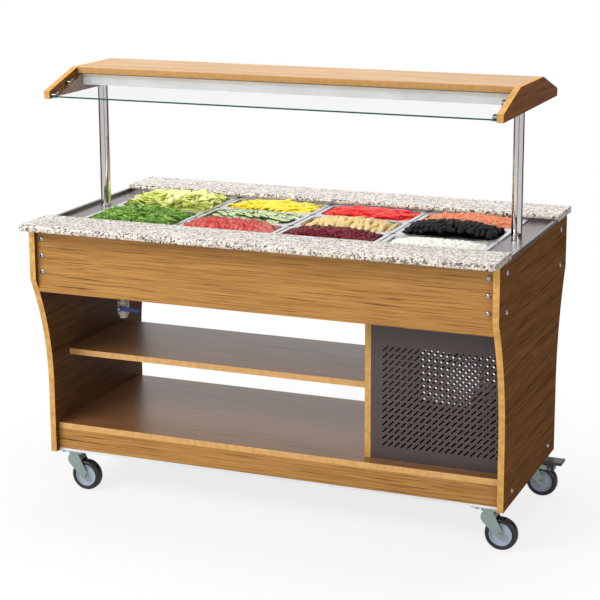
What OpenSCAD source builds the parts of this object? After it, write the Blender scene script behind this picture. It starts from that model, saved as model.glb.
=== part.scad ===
// Mobile salad bar: a chilled well for food pans, set in a boarded cabinet on casters,
// with a lit canopy and sneeze glass on two posts. Sizes are in millimetres.
// X runs along the length, the front faces -Y and the floor is Z = 0.

/* [Cabinet] */
// Width of the counter end, from the pan field to the outer face of the side panel
end_w = 87.5; // [86:0.5:130]
// Thickness of the laminated boards
board_t = 19; // [16:1:22]
// Depth of a side panel above its kink
panel_top_d = 784; // [770:2:820]
// Depth of a side panel at its foot
panel_foot_d = 606; // [600:2:640]
// Height of a side panel
panel_h = 748; // [740:1:800]
// Height of the kink above the panel's foot
kink_h = 586; // [560:1:600]
// Radius of the hollow curve below the kink
panel_bend_r = 800; // [700:10:1000]
// Height of the front and rear aprons
apron_h = 201; // [195:1:230]
// How far an apron lies behind the edge of the side panels
apron_inset = 16; // [4:1:24]
// Height of the plinth boards
plinth_h = 66; // [55:1:90]
// How far the plinth and the base board lie behind the foot of the side panels
plinth_inset = 22; // [10:1:26]
// Clear height between the base board and the shelf
shelf_rise = 205; // [150:5:280]
// Distance from the middle of the cabinet to the shelf's front edge
shelf_front = 199; // [150:1:225]
// Distance from the middle of the cabinet to the shelf's rear edge
shelf_rear = 180; // [150:1:225]
// Width of the refrigeration bay
bay_w = 414.5; // [410:0.5:480]
// Depth of the partition
partition_d = 465; // [462:1:500]

/* [Fasteners] */
// Diameter of the shank of a dome screw
screw_d = 6; // [5:0.5:6]
// Diameter of the dome head
screw_head_d = 13; // [11:0.5:14]
// Height of the dome head
screw_head_h = 4.5; // [3:0.5:5]
// Distance from the side panel to the apron's screws
apron_screw_inset = 16.5; // [12:0.5:20]
// Spacing of the three screws in the end of an apron
apron_screw_pitch = 51; // [44:1:54]
// Distance from the cabinet's middle to the upper panel bolts
bolt_y = 315; // [312:1:330]
// Height spacing of the upper panel bolts
bolt_pitch = 114; // [100:1:120]
// Distance from the cabinet's middle to the lower panel bolts
foot_bolt_y = 215; // [212:1:235]
// Height of the lower panel bolts above the panel's foot
foot_bolt_h = 40; // [30:1:48]
// Wall of the steel angle brackets
angle_t = 3; // [2:0.5:4]
// Length of an angle bracket
angle_l = 160; // [150:1:170]

/* [Casters] */
// Height from the floor to the underside of the cabinet
caster_h = 136; // [130:1:145]
// Diameter of the wheels
wheel_d = 100; // [90:1:104]
// Width of the tread
wheel_w = 32; // [28:1:36]
// How far a wheel trails behind its swivel axis
caster_trail = 37; // [33:1:39]
// Distance from the side panel's outer face to the swivel axis
caster_inset = 57.5; // [56:0.5:90]
// Length of the mounting plate
plate_l = 100; // [95:1:110]
// Width of the mounting plate
plate_w = 78; // [74:1:80]
// Diameter of the axle bolt
axle_d = 8; // [8:0.5:10]
// Radial play of the wheels, swivels and pedals on their pins
pin_play = 0.05; // [0.02:0.01:0.1]
// Wall of the pressed caster fork
fork_t = 2.5; // [2:0.5:3]
// Reach of the brake pedal from the swivel axis
pedal_reach = 105; // [98:1:115]
// Wall of the base channels
channel_t = 3; // [2:0.5:4]
// Height of the channel's lip below the plinth
channel_lip = 8; // [6:0.5:12]
// Width of the base channels
channel_w = 81; // [80.5:0.5:90]

/* [Well and deck] */
// Thickness of the steel deck sheet
deck_t = 1.5; // [1:0.1:2]
// Height of the folded rim at the ends of the deck
rim_h = 9; // [5:0.5:14]
// Width of the folded rim
rim_w = 11; // [8:0.5:15]
// Wall of the inner tank
tank_t = 1.2; // [0.8:0.1:1.5]
// Depth of the inner tank below the deck
tank_depth = 165; // [160:1:168]
// Foam at the ends of the tank
foam_end = 16; // [13:0.5:17]
// Foam at the front and rear of the tank
foam_side = 35; // [20:1:42]
// Foam under the tank
foam_floor = 24; // [16:1:25]
// Wall of the outer casing
casing_t = 1; // [0.8:0.1:1.2]
// Outer diameter of the evaporator pipe
coil_d = 8; // [6:0.5:9]
// Number of turns of the evaporator pipe
coil_turns = 4; // [2:1:4]
// Height from one turn of the pipe to the next
coil_pitch = 30; // [20:1:32]
// Outer diameter of the drain pipe
drain_d = 28; // [22:1:30]
// Distance from the well's middle to the drain, along the length
drain_x = 585; // [500:5:600]
// Distance from the well's middle to the drain, towards the front
drain_y = 94; // [60:2:150]
// Drop from the casing to the drain valve
drain_drop = 115; // [90:1:120]
// Length of the valve lever
lever_l = 72; // [60:1:85]

/* [Pans] */
// Width of a full pan
gn_w = 325; // [320:1:328]
// Length of a full pan, which the thirds and halves share
gn_l = 530; // [524:1:533]
// Gap between two columns of pans
column_gap = 5; // [4:0.5:7]
// Gap between two pans in a column
row_gap = 1; // [1:0.1:2]
// Depth of a pan
pan_depth = 150; // [65:5:150]
// Sheet of the pans
pan_t = 1; // [0.8:0.1:1.5]
// Width of a pan's rim
pan_rim_w = 12; // [11:0.5:13]
// Height of the rim's turned edge
pan_lip_h = 4; // [3:0.5:6]
// Draft of a pan's wall from top to floor
pan_taper = 8; // [4:0.5:12]
// Corner radius of a pan's body
pan_corner_r = 28; // [20:1:34]
// Width of the bars between two columns of pans
column_bar_w = 22; // [20:0.5:24]
// Width of the bars between two pans in a column
row_bar_w = 18; // [17:0.5:20]
// Height of the bars
bar_h = 14; // [8:1:20]

/* [Granite] */
// Thickness of the granite
granite_t = 20; // [18:1:30]
// Width of a granite strip
granite_w = 176; // [172:1:177]
// Distance from the well's middle to a strip's inner edge
granite_inner = 271.5; // [270:0.5:275]
// Radius of the rounded long edge
granite_edge_r = 7; // [3:0.5:8]

/* [Canopy] */
// Height from the granite to the canopy's underside
canopy_rise = 369.5; // [330:0.5:420]
// Length over the canopy's end cheeks
canopy_l = 1450; // [1448:0.5:1454]
// Depth of the canopy at its underside
canopy_d = 616; // [600:2:640]
// Depth of the canopy's flat top
canopy_top_d = 262; // [256:2:280]
// Height of a cheek
cheek_h = 79; // [76:1:90]
// Height of a cheek's upright edge
cheek_edge_h = 24; // [20:1:28]
// Diameter of the posts
post_d = 33; // [30:0.5:34]
// Wall of the posts
post_wall = 1.5; // [1:0.1:2.5]
// Distance from the canopy's end to the middle of a post
post_inset = 37; // [36.5:0.5:38]
// Thickness of the glass
glass_t = 5; // [4:0.5:6]
// Width of a pane along its slope
glass_w = 174; // [160:1:176]
// Distance from the slope of the cheeks down to the glass
glass_drop = 15; // [14:0.5:17]
// Depth of the light housing
housing_d = 210; // [180:2:230]
// Height of the light housing
housing_h = 41; // [36:1:45]
// Sheet of the light housing
housing_t = 1.5; // [1:0.1:2]
// Diameter of the lamp
lamp_d = 16; // [12:1:18]
// Distance from a pane's lower edge to its first clamp
clamp_first = 14; // [12:1:25]
// Distance between the two clamps of a pane
clamp_pitch = 96; // [80:1:120]

/* [Refrigeration bay] */
// Sheet of the grilles
grille_t = 1.2; // [0.8:0.1:2]
// Height of a grille up to its fold
grille_h = 374; // [350:1:390]
// Length of a slot
slot_l = 23; // [16:0.5:24]
// Width of a slot
slot_w = 5; // [3:0.5:6]
// Slots along the grille
slot_cols = 19; // [10:1:19]
// Slots up the grille
slot_rows = 15; // [8:1:16]
// Spacing of the slots along the grille
slot_pitch_x = 19.6; // [18.5:0.1:19.8]
// Spacing of the slots up the grille
slot_pitch_z = 21; // [20:0.1:21.5]
// Distance from the partition to the first column of slots
slot_margin = 45; // [30:1:46]
// Diameter of the compressor's shell
compressor_d = 124; // [100:2:130]
// Height of the compressor's shell
compressor_h = 150; // [120:2:170]
// Diameter of the condenser fan
fan_d = 120; // [100:2:126]
// Tip clearance of the fan
fan_gap = 3; // [2:0.5:5]

/* [Controls] */
// Distance from the cabinet's middle to the controller
control_x = 560; // [500:5:600]
// Width of the controller's bezel
control_w = 78; // [70:1:90]
// Height of the controller's bezel
control_h = 36; // [32:1:40]
// Tilt of the switch rocker
rocker_tilt = 8; // [5:1:10]

/* [Hidden] */
$fn = 64;
cut = 1;
seat_gap = 0.3;

wood = "#bd8c4b";
wood_dark = "#7a5330";
granite_grey = "#c9bdb8";
steel = "#c8ccd0";
zinc = "#a9b4b2";
grille_brown = "#4b4141";
white_sheet = "#e9ebec";

// Plan of the pans and the cabinet
columns = 4;
column_pitch = gn_w + column_gap;
field_l = columns * column_pitch;
body_l = field_l + 2 * end_w;
inner_x = body_l / 2 - board_t;
third_l = (gn_l - 2 * row_gap) / 3;
half_l = (gn_l - row_gap) / 2;
half_y = (half_l + row_gap) / 2;
third_y = third_l + row_gap;
pan_body_gap = pan_rim_w - (column_bar_w - column_gap) / 2;

// Heights
foot_z = caster_h;
panel_top_z = foot_z + panel_h;
kink_z = foot_z + kink_h;
plinth_z = foot_z + channel_lip;
base_z = plinth_z + plinth_h;
floor_z = base_z + board_t;
shelf_z = floor_z + shelf_rise;
apron_z = panel_top_z - apron_h;
deck_z = panel_top_z + deck_t;
granite_z = deck_z + granite_t;
rim_z = deck_z + seat_gap + pan_lip_h;
canopy_z = granite_z + canopy_rise;
canopy_top_z = canopy_z + cheek_h;
board_z = canopy_top_z - board_t;
tank_floor_z = panel_top_z - tank_depth;
casing_z = tank_floor_z - tank_t - foam_floor - casing_t;

// Depths
apron_y = panel_top_d / 2 - apron_inset;
plinth_y = panel_foot_d / 2 - plinth_inset;
channel_y = plinth_y - channel_w;
caster_y = plinth_y - channel_w / 2;
step_y = (panel_top_d - panel_foot_d) / 2;
bend_z = kink_z - sqrt(pow(panel_bend_r, 2) - pow(panel_bend_r - step_y, 2));

// Well, from the middle outwards
hole_x = field_l / 2 - column_gap / 2 - pan_rim_w + pan_body_gap;
hole_y = gn_l / 2 - pan_rim_w + pan_body_gap;
tank_edge = 2;
tank_x = hole_x + tank_edge;
tank_y = hole_y + tank_edge;
tank_r = 12;
shell_x = tank_x + tank_t;
shell_y = tank_y + tank_t;
casing_x = shell_x + foam_end + casing_t;
casing_y = shell_y + foam_side + casing_t;

// Fasteners
hole_play = 0.3;
screw_hole_d = screw_d + 2 * hole_play;
bolt_top_z = panel_top_z - 29;
apron_screw_top_z = panel_top_z - 34;
foot_bolt_z = foot_z + foot_bolt_h;
side_bolts = [
    for (s = [-1, 1]) each [
        [s * bolt_y, bolt_top_z],
        [s * bolt_y, bolt_top_z - bolt_pitch],
        [s * foot_bolt_y, foot_bolt_z]
    ]
];
apron_screws = [for (s = [-1, 1], i = [0:2])
    [s * (inner_x - apron_screw_inset), apron_screw_top_z - i * apron_screw_pitch]];
bolt_l = board_t + angle_t + 4;
angle_side_w = 60;
angle_apron_w = 45;
post_screw_y = 28;
post_screw_l = 12;

// Canopy
post_x = canopy_l / 2 - post_inset;
cheek_x = canopy_l / 2 - board_t;
post_plate_t = 3;
post_plate_w = 90;
post_plate_l = 34;
post_plate_gap = 1;
spigot_l = 60;
spigot_play = 0.2;
slope_run = (canopy_d - canopy_top_d) / 2;
slope_a = atan2(cheek_h - cheek_edge_h, slope_run);
glass_end_gap = 2;
glass_top_gap = 6;
glass_top_y = canopy_top_d / 2 + glass_top_gap;
glass_x = cheek_x - glass_end_gap;
clamp_w = 16;
clamp_l = 24;
clamp_h = 15;
clamp_r = 4;
clamp_play = 0.2;
housing_lip = 7;
housing_end_gap = 6;
housing_z = board_z - housing_h;
housing_x = cheek_x - housing_end_gap;
diffuser_t = 2.5;
diffuser_gap = 3;
lamp_l = 1149;
lamp_holder = 24;
lamp_z = housing_z + housing_h - housing_t - lamp_holder / 2;

// Refrigeration bay
partition_x = inner_x - bay_w;
grille_y = partition_d / 2;
grille_gap = 0.4;
grille_flange = 14;
header_top = casing_z - 0.5;
header_h = header_top - floor_z - grille_h;
slot_first_x = partition_x + slot_margin;
slot_first_z = floor_z + 50;
unit_t = 2;
unit_x = partition_x + bay_w / 2;
unit_l = 300;
unit_w = 330;
unit_z = floor_z + unit_t;
compressor_dx = 78;
compressor_x = unit_x + compressor_dx;
compressor_y = 88;
condenser_w = 38;
condenser_l = 230;
condenser_h = 150;
condenser_x = unit_x - 20;
condenser_y = -unit_w / 2 + 6;
fan_y = condenser_y + condenser_w + 24;
fan_z = unit_z + condenser_h / 2;
fan_w = 22;
motor_d = 44;
motor_l = 40;
shaft_d = 6;
shroud_t = 1.2;
shroud_l = 46;

// Casters
caster_x = body_l / 2 - caster_inset;
plate_t = 3;
race_d = 54;
race_h = 7;
fork_gap = 0.5;
fork_z = caster_h - plate_t - race_h - fork_gap;
fork_boss_h = 2.5;
fork_plate_t = 4;
kingpin_d = 10;
kingpin_head_d = 14;
kingpin_head_h = 2;
leg_gap = 2;
leg_in = wheel_w / 2 + leg_gap;
leg_out = leg_in + fork_t;
axle_z = wheel_d / 2;
head_dx = 0;
head_r = 22;
head_z = fork_z - fork_boss_h - head_r;
eye_r = 12;
hinge_dx = caster_trail + 29;
hinge_z = axle_z + 48;
hinge_d = 6;
ear_r = 7;
pedal_t = 10;
pedal_wall = 3;
pedal_gap = 0.5;
pedal_half = leg_out + pedal_gap + pedal_wall;
pedal_z = hinge_z + 14;
pedal_start = 42;
brake_hub_r = 9;
shoe_dx = 8.5;
shoe_dz = -7;
shoe_r = 3;

// The frame's middle lies under the middle of the whole outline, with the wheels trailing to +X
reach_left = body_l / 2 + screw_head_h;
reach_right = max(reach_left, caster_x + pedal_reach);
home_x = (reach_left - reach_right) / 2;

/* Shared shapes */

// Puts a piece where the frame's middle wants it
module at_home() {
    translate([home_x, 0, 0]) children();
}

// Turns a drawing in (Y, Z) into a solid that starts at X = 0 and runs along +X
module along_x(length) {
    rotate([90, 0, 90]) linear_extrude(length) children();
}

// Turns a drawing in (X, Z) into a solid centred on Y = 0
module across_y(width) {
    translate([0, width / 2, 0]) rotate([90, 0, 0]) linear_extrude(width) children();
}

// Both mirror images of a piece about the plane X = 0
module both_ends() {
    children();
    mirror([1, 0, 0]) children();
}

// Both mirror images of a piece about the plane Y = 0
module both_sides() {
    children();
    mirror([0, 1, 0]) children();
}

// A block given by its lowest and highest corners
module block(low, high) {
    translate(low) cube(high - low);
}

// A rectangle round the origin with round corners
module round_rect(size_x, size_y, r) {
    square([size_x - 2 * r, size_y], center = true);
    square([size_x, size_y - 2 * r], center = true);
    for (sx = [-1, 1], sy = [-1, 1])
        translate([sx * (size_x / 2 - r), sy * (size_y / 2 - r)]) circle(r);
}

// A flat link: two circles, and straight sides that run a hair inside the lines touching both
module link(from, r_from, to, r_to) {
    hair = 0.02;
    run = to - from;
    a = atan2(run[1], run[0]);
    b = acos((r_from - r_to) / norm(run));
    translate(from) circle(r_from);
    translate(to) circle(r_to);
    polygon([
        from + (r_from - hair) * [cos(a + b), sin(a + b)],
        to + (r_to - hair) * [cos(a + b), sin(a + b)],
        to + (r_to - hair) * [cos(a - b), sin(a - b)],
        from + (r_from - hair) * [cos(a - b), sin(a - b)]
    ]);
}

// A dome-headed screw: its head stands on Z = 0 and its shank points down
module dome_screw(length) {
    dome_r = (pow(screw_head_d / 2, 2) + pow(screw_head_h, 2)) / (2 * screw_head_h);
    intersection() {
        translate([0, 0, screw_head_h - dome_r]) sphere(dome_r);
        cylinder(h = screw_head_h, d = screw_head_d);
    }
    translate([0, 0, -length]) cylinder(h = length + screw_head_h / 2, d = screw_d);
}

// Holes through both side panels' bolt places, made along X over the given span
module side_bolt_holes(x_from, x_to) {
    for (p = side_bolts)
        translate([x_from, p[0], p[1]]) rotate([0, 90, 0]) cylinder(h = x_to - x_from, d = screw_hole_d);
}

/* Cabinet */

module panel_outline() {
    difference() {
        translate([-panel_top_d / 2, foot_z]) square([panel_top_d, panel_h]);
        for (s = [0, 1]) mirror([s, 0]) {
            translate([panel_foot_d / 2 + panel_bend_r, bend_z]) circle(panel_bend_r, $fn = 240);
            translate([panel_foot_d / 2, foot_z - cut]) square([step_y + cut, bend_z - foot_z + cut]);
        }
    }
}

module side_panel() {
    difference() {
        along_x(board_t) panel_outline();
        side_bolt_holes(-cut, board_t + cut);
    }
}

module side_panel_left() {
    color(wood_dark) translate([-body_l / 2, 0, 0]) side_panel();
}

module side_panel_right() {
    color(wood_dark) translate([inner_x, 0, 0]) side_panel();
}

module apron() {
    difference() {
        block([-inner_x, -apron_y, apron_z], [inner_x, board_t - apron_y, panel_top_z]);
        for (p = apron_screws)
            translate([p[0], -apron_y - cut, p[1]]) rotate([-90, 0, 0])
                cylinder(h = board_t + 2 * cut, d = screw_hole_d);
    }
}

module front_panel() {
    color(wood) apron();
}

module rear_panel() {
    color(wood) difference() {
        mirror([0, 1, 0]) apron();
        controller_cutouts();
    }
}

module base_deck() {
    color(wood) block([-inner_x, -plinth_y, base_z], [inner_x, plinth_y, floor_z]);
}

module plinth_boards() {
    color(wood) both_sides()
        block([-inner_x, -plinth_y, plinth_z], [inner_x, board_t - plinth_y, base_z]);
}

module mid_shelf() {
    color(wood) block([-inner_x, -shelf_front, shelf_z],
        [partition_x - board_t, shelf_rear, shelf_z + board_t]);
}

module partition() {
    color(wood) block([partition_x - board_t, -partition_d / 2, floor_z],
        [partition_x, partition_d / 2, casing_z]);
}

// Cross-section of the front base channel: a lip under the plinth, a floor, a web and a top flange
module channel_section() {
    flange = 36;
    translate([-plinth_y, foot_z]) {
        square([channel_t, channel_lip]);
        square([channel_w, channel_t]);
        translate([channel_w - channel_t, 0]) square([channel_t, base_z - foot_z]);
        translate([channel_w - flange, base_z - foot_z - channel_t]) square([flange, channel_t]);
    }
}

module base_channels() {
    tab_in = 10;
    color(white_sheet) both_sides() difference() {
        union() {
            translate([-inner_x, 0, 0]) along_x(2 * inner_x) channel_section();
            both_ends() block([inner_x - channel_t, -plinth_y + board_t + tab_in, foot_z],
                [inner_x, -channel_y, base_z]);
        }
        both_ends() side_bolt_holes(inner_x - channel_t - cut, inner_x + cut);
        for (s = [-1, 1]) translate([s * caster_x, -caster_y, foot_z - cut])
            plate_holes(channel_t + 2 * cut);
    }
}

// Vertical angles in the four top corners, and the feet that carry the two canopy posts
module angle_brackets() {
    color(zinc) {
        both_ends() both_sides() difference() {
            translate([inner_x, board_t - apron_y, panel_top_z - 9 - angle_l]) {
                block([-angle_t, 0, 0], [0, angle_side_w, angle_l]);
                block([-angle_apron_w, 0, 0], [0, angle_t, angle_l]);
            }
            side_bolt_holes(inner_x - angle_t - cut, inner_x + cut);
            for (p = apron_screws)
                translate([p[0], -apron_y + board_t - cut, p[1]]) rotate([-90, 0, 0])
                    cylinder(h = angle_t + 2 * cut, d = screw_hole_d);
        }
        both_ends() post_foot();
    }
}

// A foot hangs under the deck on the side panel, and its spigot stands up inside the post
module post_foot() {
    foot_w = 90;
    leg_h = 60;
    difference() {
        union() {
            block([casing_x + 0.5, -foot_w / 2, panel_top_z - angle_t], [inner_x, foot_w / 2, panel_top_z]);
            block([inner_x - angle_t, -foot_w / 2, panel_top_z - leg_h], [inner_x, foot_w / 2, panel_top_z]);
            translate([post_x, 0, panel_top_z - angle_t])
                cylinder(h = angle_t + deck_t + spigot_l, d = post_d - 2 * post_wall - 2 * spigot_play);
        }
        for (s = [-1, 1]) translate([post_x, s * post_screw_y, panel_top_z - angle_t - cut])
            cylinder(h = angle_t + 2 * cut, d = screw_hole_d);
    }
}

module dome_screws() {
    color(steel) {
        both_ends() for (p = side_bolts)
            translate([body_l / 2, p[0], p[1]]) rotate([0, 90, 0]) dome_screw(bolt_l);
        both_sides() for (p = apron_screws)
            translate([p[0], -apron_y, p[1]]) rotate([90, 0, 0]) dome_screw(bolt_l);
        both_ends() for (s = [-1, 1])
            translate([post_x, s * post_screw_y, deck_z]) dome_screw(post_screw_l);
    }
}

/* Deck, well and pans */

// The deck is a tray: its ends fold over into rims, and folded hems stand along the granite
module counter_deck() {
    hem_w = 2 * deck_t;
    color(steel) difference() {
        union() {
            block([-body_l / 2, -apron_y, panel_top_z], [body_l / 2, apron_y, deck_z]);
            both_ends() block([body_l / 2 - rim_w, -granite_inner + seat_gap, deck_z],
                [body_l / 2, granite_inner - seat_gap, deck_z + rim_h]);
            both_sides() block([-body_l / 2 + rim_w, granite_inner - seat_gap - hem_w, deck_z - deck_t],
                [body_l / 2 - rim_w, granite_inner - seat_gap, deck_z + rim_h]);
        }
        translate([0, 0, panel_top_z - cut]) linear_extrude(deck_t + 2 * cut)
            round_rect(2 * hole_x, 2 * hole_y, tank_r);
        both_ends() block([body_l / 2 - rim_w + deck_t, -granite_inner, panel_top_z - cut],
            [body_l / 2 - deck_t, granite_inner, deck_z + rim_h - deck_t]);
        both_ends() translate([post_x, 0, panel_top_z - cut])
            cylinder(h = deck_t + 2 * cut, d = post_d - 2 * post_wall);
        both_ends() for (s = [-1, 1]) translate([post_x, s * post_screw_y, panel_top_z - cut])
            cylinder(h = deck_t + 2 * cut, d = screw_hole_d);
    }
}

module drain_hole(d, z_from, z_to) {
    translate([-drain_x, -drain_y, z_from]) cylinder(h = z_to - z_from, d = d);
}

module well_tank() {
    color(steel) difference() {
        translate([0, 0, tank_floor_z - tank_t]) linear_extrude(tank_depth + tank_t)
            round_rect(2 * shell_x, 2 * shell_y, tank_r + tank_t);
        translate([0, 0, tank_floor_z]) linear_extrude(tank_depth + cut)
            round_rect(2 * tank_x, 2 * tank_y, tank_r);
        drain_hole(drain_d, tank_floor_z - tank_t - cut, tank_floor_z + cut);
        bars(shell_x, shell_y, panel_top_z + cut);
    }
}

module well_insulation() {
    belt = coil_d + 2 * seat_gap;
    color("#e8dfb8") difference() {
        block([-casing_x + casing_t, -casing_y + casing_t, casing_z + casing_t],
            [casing_x - casing_t, casing_y - casing_t, panel_top_z]);
        translate([0, 0, tank_floor_z - tank_t]) linear_extrude(tank_depth + tank_t + cut)
            round_rect(2 * shell_x, 2 * shell_y, tank_r + tank_t);
        translate([0, 0, coil_first_z - belt / 2]) linear_extrude((coil_turns - 1) * coil_pitch + belt)
            round_rect(2 * (shell_x + belt), 2 * (shell_y + belt), tank_r + tank_t + belt);
        drain_hole(drain_d + 2 * seat_gap, casing_z, tank_floor_z);
        line_chase(suction_x, stub_y, tail_y, coil_top_z);
        line_chase(liquid_x, tube_y, coil_y, coil_first_z);
    }
}

// A square chase in the foam: down the tank's rear wall and along the casing's floor
module line_chase(x, y_from, y_to, z_top) {
    half = coil_d / 2 + seat_gap;
    block([x - half, coil_y - half, casing_z], [x + half, y_to + half, z_top + half]);
    block([x - half, y_from - half, casing_z], [x + half, y_to + half, line_z + half]);
}

module line_hole(x, y) {
    translate([x, y, casing_z - cut]) cylinder(h = casing_t + 2 * cut, d = coil_d + 2 * seat_gap);
}

module well_casing() {
    play = 2 * seat_gap;
    color(zinc) difference() {
        block([-casing_x, -casing_y, casing_z], [casing_x, casing_y, panel_top_z]);
        block([-casing_x + casing_t, -casing_y + casing_t, casing_z + casing_t],
            [casing_x - casing_t, casing_y - casing_t, panel_top_z + cut]);
        drain_hole(drain_d + play, casing_z - cut, casing_z + casing_t + cut);
        line_hole(suction_x, stub_y);
        line_hole(liquid_x, tube_y);
    }
}

// The pipe lies in rectangular turns against the outside of the tank
coil_off = coil_d / 2 + seat_gap;
coil_first_z = tank_floor_z + 22;
coil_bend_r = tank_r + tank_t + coil_off;
coil_x = shell_x + coil_off;
coil_y = shell_y + coil_off;

// Three lines join the turns, the compressor and the condenser
line_z = tank_floor_z - tank_t - coil_off;
coil_top_z = coil_first_z + (coil_turns - 1) * coil_pitch;
tail_y = coil_y + coil_d + 1;
riser_x = inner_x / 2;
stub_dx = 20;
stub_y = compressor_y - compressor_d / 2 + 16;
stub_top = unit_z + compressor_h + 18;
tube_rows = 5;
tube_end_x = condenser_x + condenser_l / 2 + 6;
tube_y = condenser_y + condenser_w / 2;
tube_top_z = unit_z + (tube_rows - 0.5) * condenser_h / tube_rows;
tube_low_z = unit_z + 0.5 * condenser_h / tube_rows;
suction_x = compressor_x - stub_dx;
liquid_x = tube_end_x + 12;
discharge_x = tube_end_x + 24;
discharge_z = stub_top + 14;
suction_line = [
    [suction_x, coil_y, coil_top_z],
    [suction_x, tail_y, coil_top_z],
    [suction_x, tail_y, line_z],
    [suction_x, stub_y, line_z],
    [suction_x, stub_y, stub_top]
];
liquid_line = [
    [liquid_x, coil_y, coil_first_z],
    [liquid_x, coil_y, line_z],
    [liquid_x, tube_y, line_z],
    [liquid_x, tube_y, tube_top_z],
    [tube_end_x, tube_y, tube_top_z]
];
discharge_line = [
    [compressor_x + stub_dx, stub_y, stub_top],
    [compressor_x + stub_dx, stub_y, discharge_z],
    [discharge_x, stub_y, discharge_z],
    [discharge_x, tube_y, discharge_z],
    [discharge_x, tube_y, tube_low_z],
    [tube_end_x, tube_y, tube_low_z]
];

// A pipe through a row of points, with a ball at each corner
module pipe(points, d) {
    for (i = [0:len(points) - 2]) {
        run = points[i + 1] - points[i];
        translate(points[i]) rotate([0, acos(run[2] / norm(run)), atan2(run[1], run[0])])
            cylinder(h = norm(run), d = d);
        if (i > 0) translate(points[i]) sphere(d = d);
    }
}

module evaporator_turns() {
    for (i = [0:coil_turns - 1]) translate([0, 0, coil_first_z + i * coil_pitch]) {
        for (s = [-1, 1]) {
            translate([-coil_x + coil_bend_r, s * coil_y, 0]) rotate([0, 90, 0])
                cylinder(h = 2 * (coil_x - coil_bend_r), d = coil_d);
            translate([s * coil_x, -coil_y + coil_bend_r, 0]) rotate([-90, 0, 0])
                cylinder(h = 2 * (coil_y - coil_bend_r), d = coil_d);
        }
        for (sx = [0, 1], sy = [0, 1]) mirror([sx, 0, 0]) mirror([0, sy, 0])
            translate([coil_x - coil_bend_r, coil_y - coil_bend_r, 0])
                rotate_extrude(angle = 90) translate([coil_bend_r, 0]) circle(d = coil_d);
    }
}

module evaporator_coil() {
    color("#b87333") {
        evaporator_turns();
        pipe([[riser_x, coil_y, coil_first_z], [riser_x, coil_y, coil_top_z]], coil_d);
        pipe(suction_line, coil_d);
        pipe(liquid_line, coil_d);
        pipe(discharge_line, coil_d);
    }
}

// Bars between the pans: three along Y, and short ones along X between them
module bars(reach_x, reach_y, top) {
    for (c = [1:columns - 1]) {
        x = (c - columns / 2) * column_pitch;
        block([x - column_bar_w / 2, -reach_y, deck_z - bar_h], [x + column_bar_w / 2, reach_y, top]);
    }
    for (c = [0:columns - 1], y = c == 0 ? [0] : [-third_y / 2, third_y / 2]) {
        left = (c - columns / 2) * column_pitch;
        x_from = c == 0 ? -reach_x : left + column_bar_w / 2;
        x_to = c == columns - 1 ? reach_x : left + column_pitch - column_bar_w / 2;
        block([x_from, y - row_bar_w / 2, deck_z - bar_h], [x_to, y + row_bar_w / 2, top]);
    }
}

// The bars are level with the deck, and their ends rest in notches of the tank under it
module pan_rails() {
    color(steel) {
        bars(hole_x, hole_y, deck_z);
        bars(shell_x, shell_y, panel_top_z);
    }
}

// A thin slice of a pan's rounded plan, for the tapered body
module pan_slice(w, l, r, z) {
    translate([0, 0, z]) linear_extrude(0.01) for (sx = [-1, 1], sy = [-1, 1])
        translate([sx * (w / 2 - r), sy * (l / 2 - r)]) circle(r, $fn = 24);
}

module pan_body(w, l, grow, z_top, z_low) {
    hull() {
        pan_slice(w + 2 * grow, l + 2 * grow, pan_corner_r + grow, z_top);
        pan_slice(w - 2 * pan_taper + 2 * grow, l - 2 * pan_taper + 2 * grow, pan_corner_r + grow, z_low);
    }
}

// A food pan in its place: its rim turns down onto the bars, and its body hangs between them
module food_pan(length, column, y) {
    rim_t = 1.2;
    rim_r = 15;
    w = gn_w - 2 * pan_rim_w;
    l = length - 2 * pan_rim_w;
    color(steel) translate([(column + 0.5 - columns / 2) * column_pitch, y, 0]) difference() {
        union() {
            translate([0, 0, rim_z - rim_t]) linear_extrude(rim_t) round_rect(gn_w, length, rim_r);
            translate([0, 0, rim_z - pan_lip_h]) linear_extrude(pan_lip_h) difference() {
                round_rect(gn_w, length, rim_r);
                round_rect(gn_w - 2 * rim_t, length - 2 * rim_t, rim_r - rim_t);
            }
            pan_body(w, l, 0, rim_z - rim_t, rim_z - pan_depth);
        }
        pan_body(w, l, -pan_t, rim_z + cut, rim_z - pan_depth + pan_t);
    }
}

module pan_half_front() { food_pan(half_l, 0, -half_y); }
module pan_half_rear() { food_pan(half_l, 0, half_y); }
module pan_third_2_front() { food_pan(third_l, 1, -third_y); }
module pan_third_2_middle() { food_pan(third_l, 1, 0); }
module pan_third_2_rear() { food_pan(third_l, 1, third_y); }
module pan_third_3_front() { food_pan(third_l, 2, -third_y); }
module pan_third_3_middle() { food_pan(third_l, 2, 0); }
module pan_third_3_rear() { food_pan(third_l, 2, third_y); }
module pan_third_4_front() { food_pan(third_l, 3, -third_y); }
module pan_third_4_middle() { food_pan(third_l, 3, 0); }
module pan_third_4_rear() { food_pan(third_l, 3, third_y); }

module granite_strips() {
    color(granite_grey) both_sides()
        translate([-body_l / 2, -granite_inner - granite_w / 2, deck_z + granite_t / 2])
            along_x(body_l) round_rect(granite_w, granite_t, granite_edge_r);
}

/* Drain */

valve_z = casing_z - drain_drop;
valve_d = 38;
valve_h = 44;
stem_d = 6;
stem_l = 22;
stem_nut_h = 3;
lever_t = 4;
lever_y = -drain_y - valve_d / 2 - 5 - lever_t;

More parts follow.
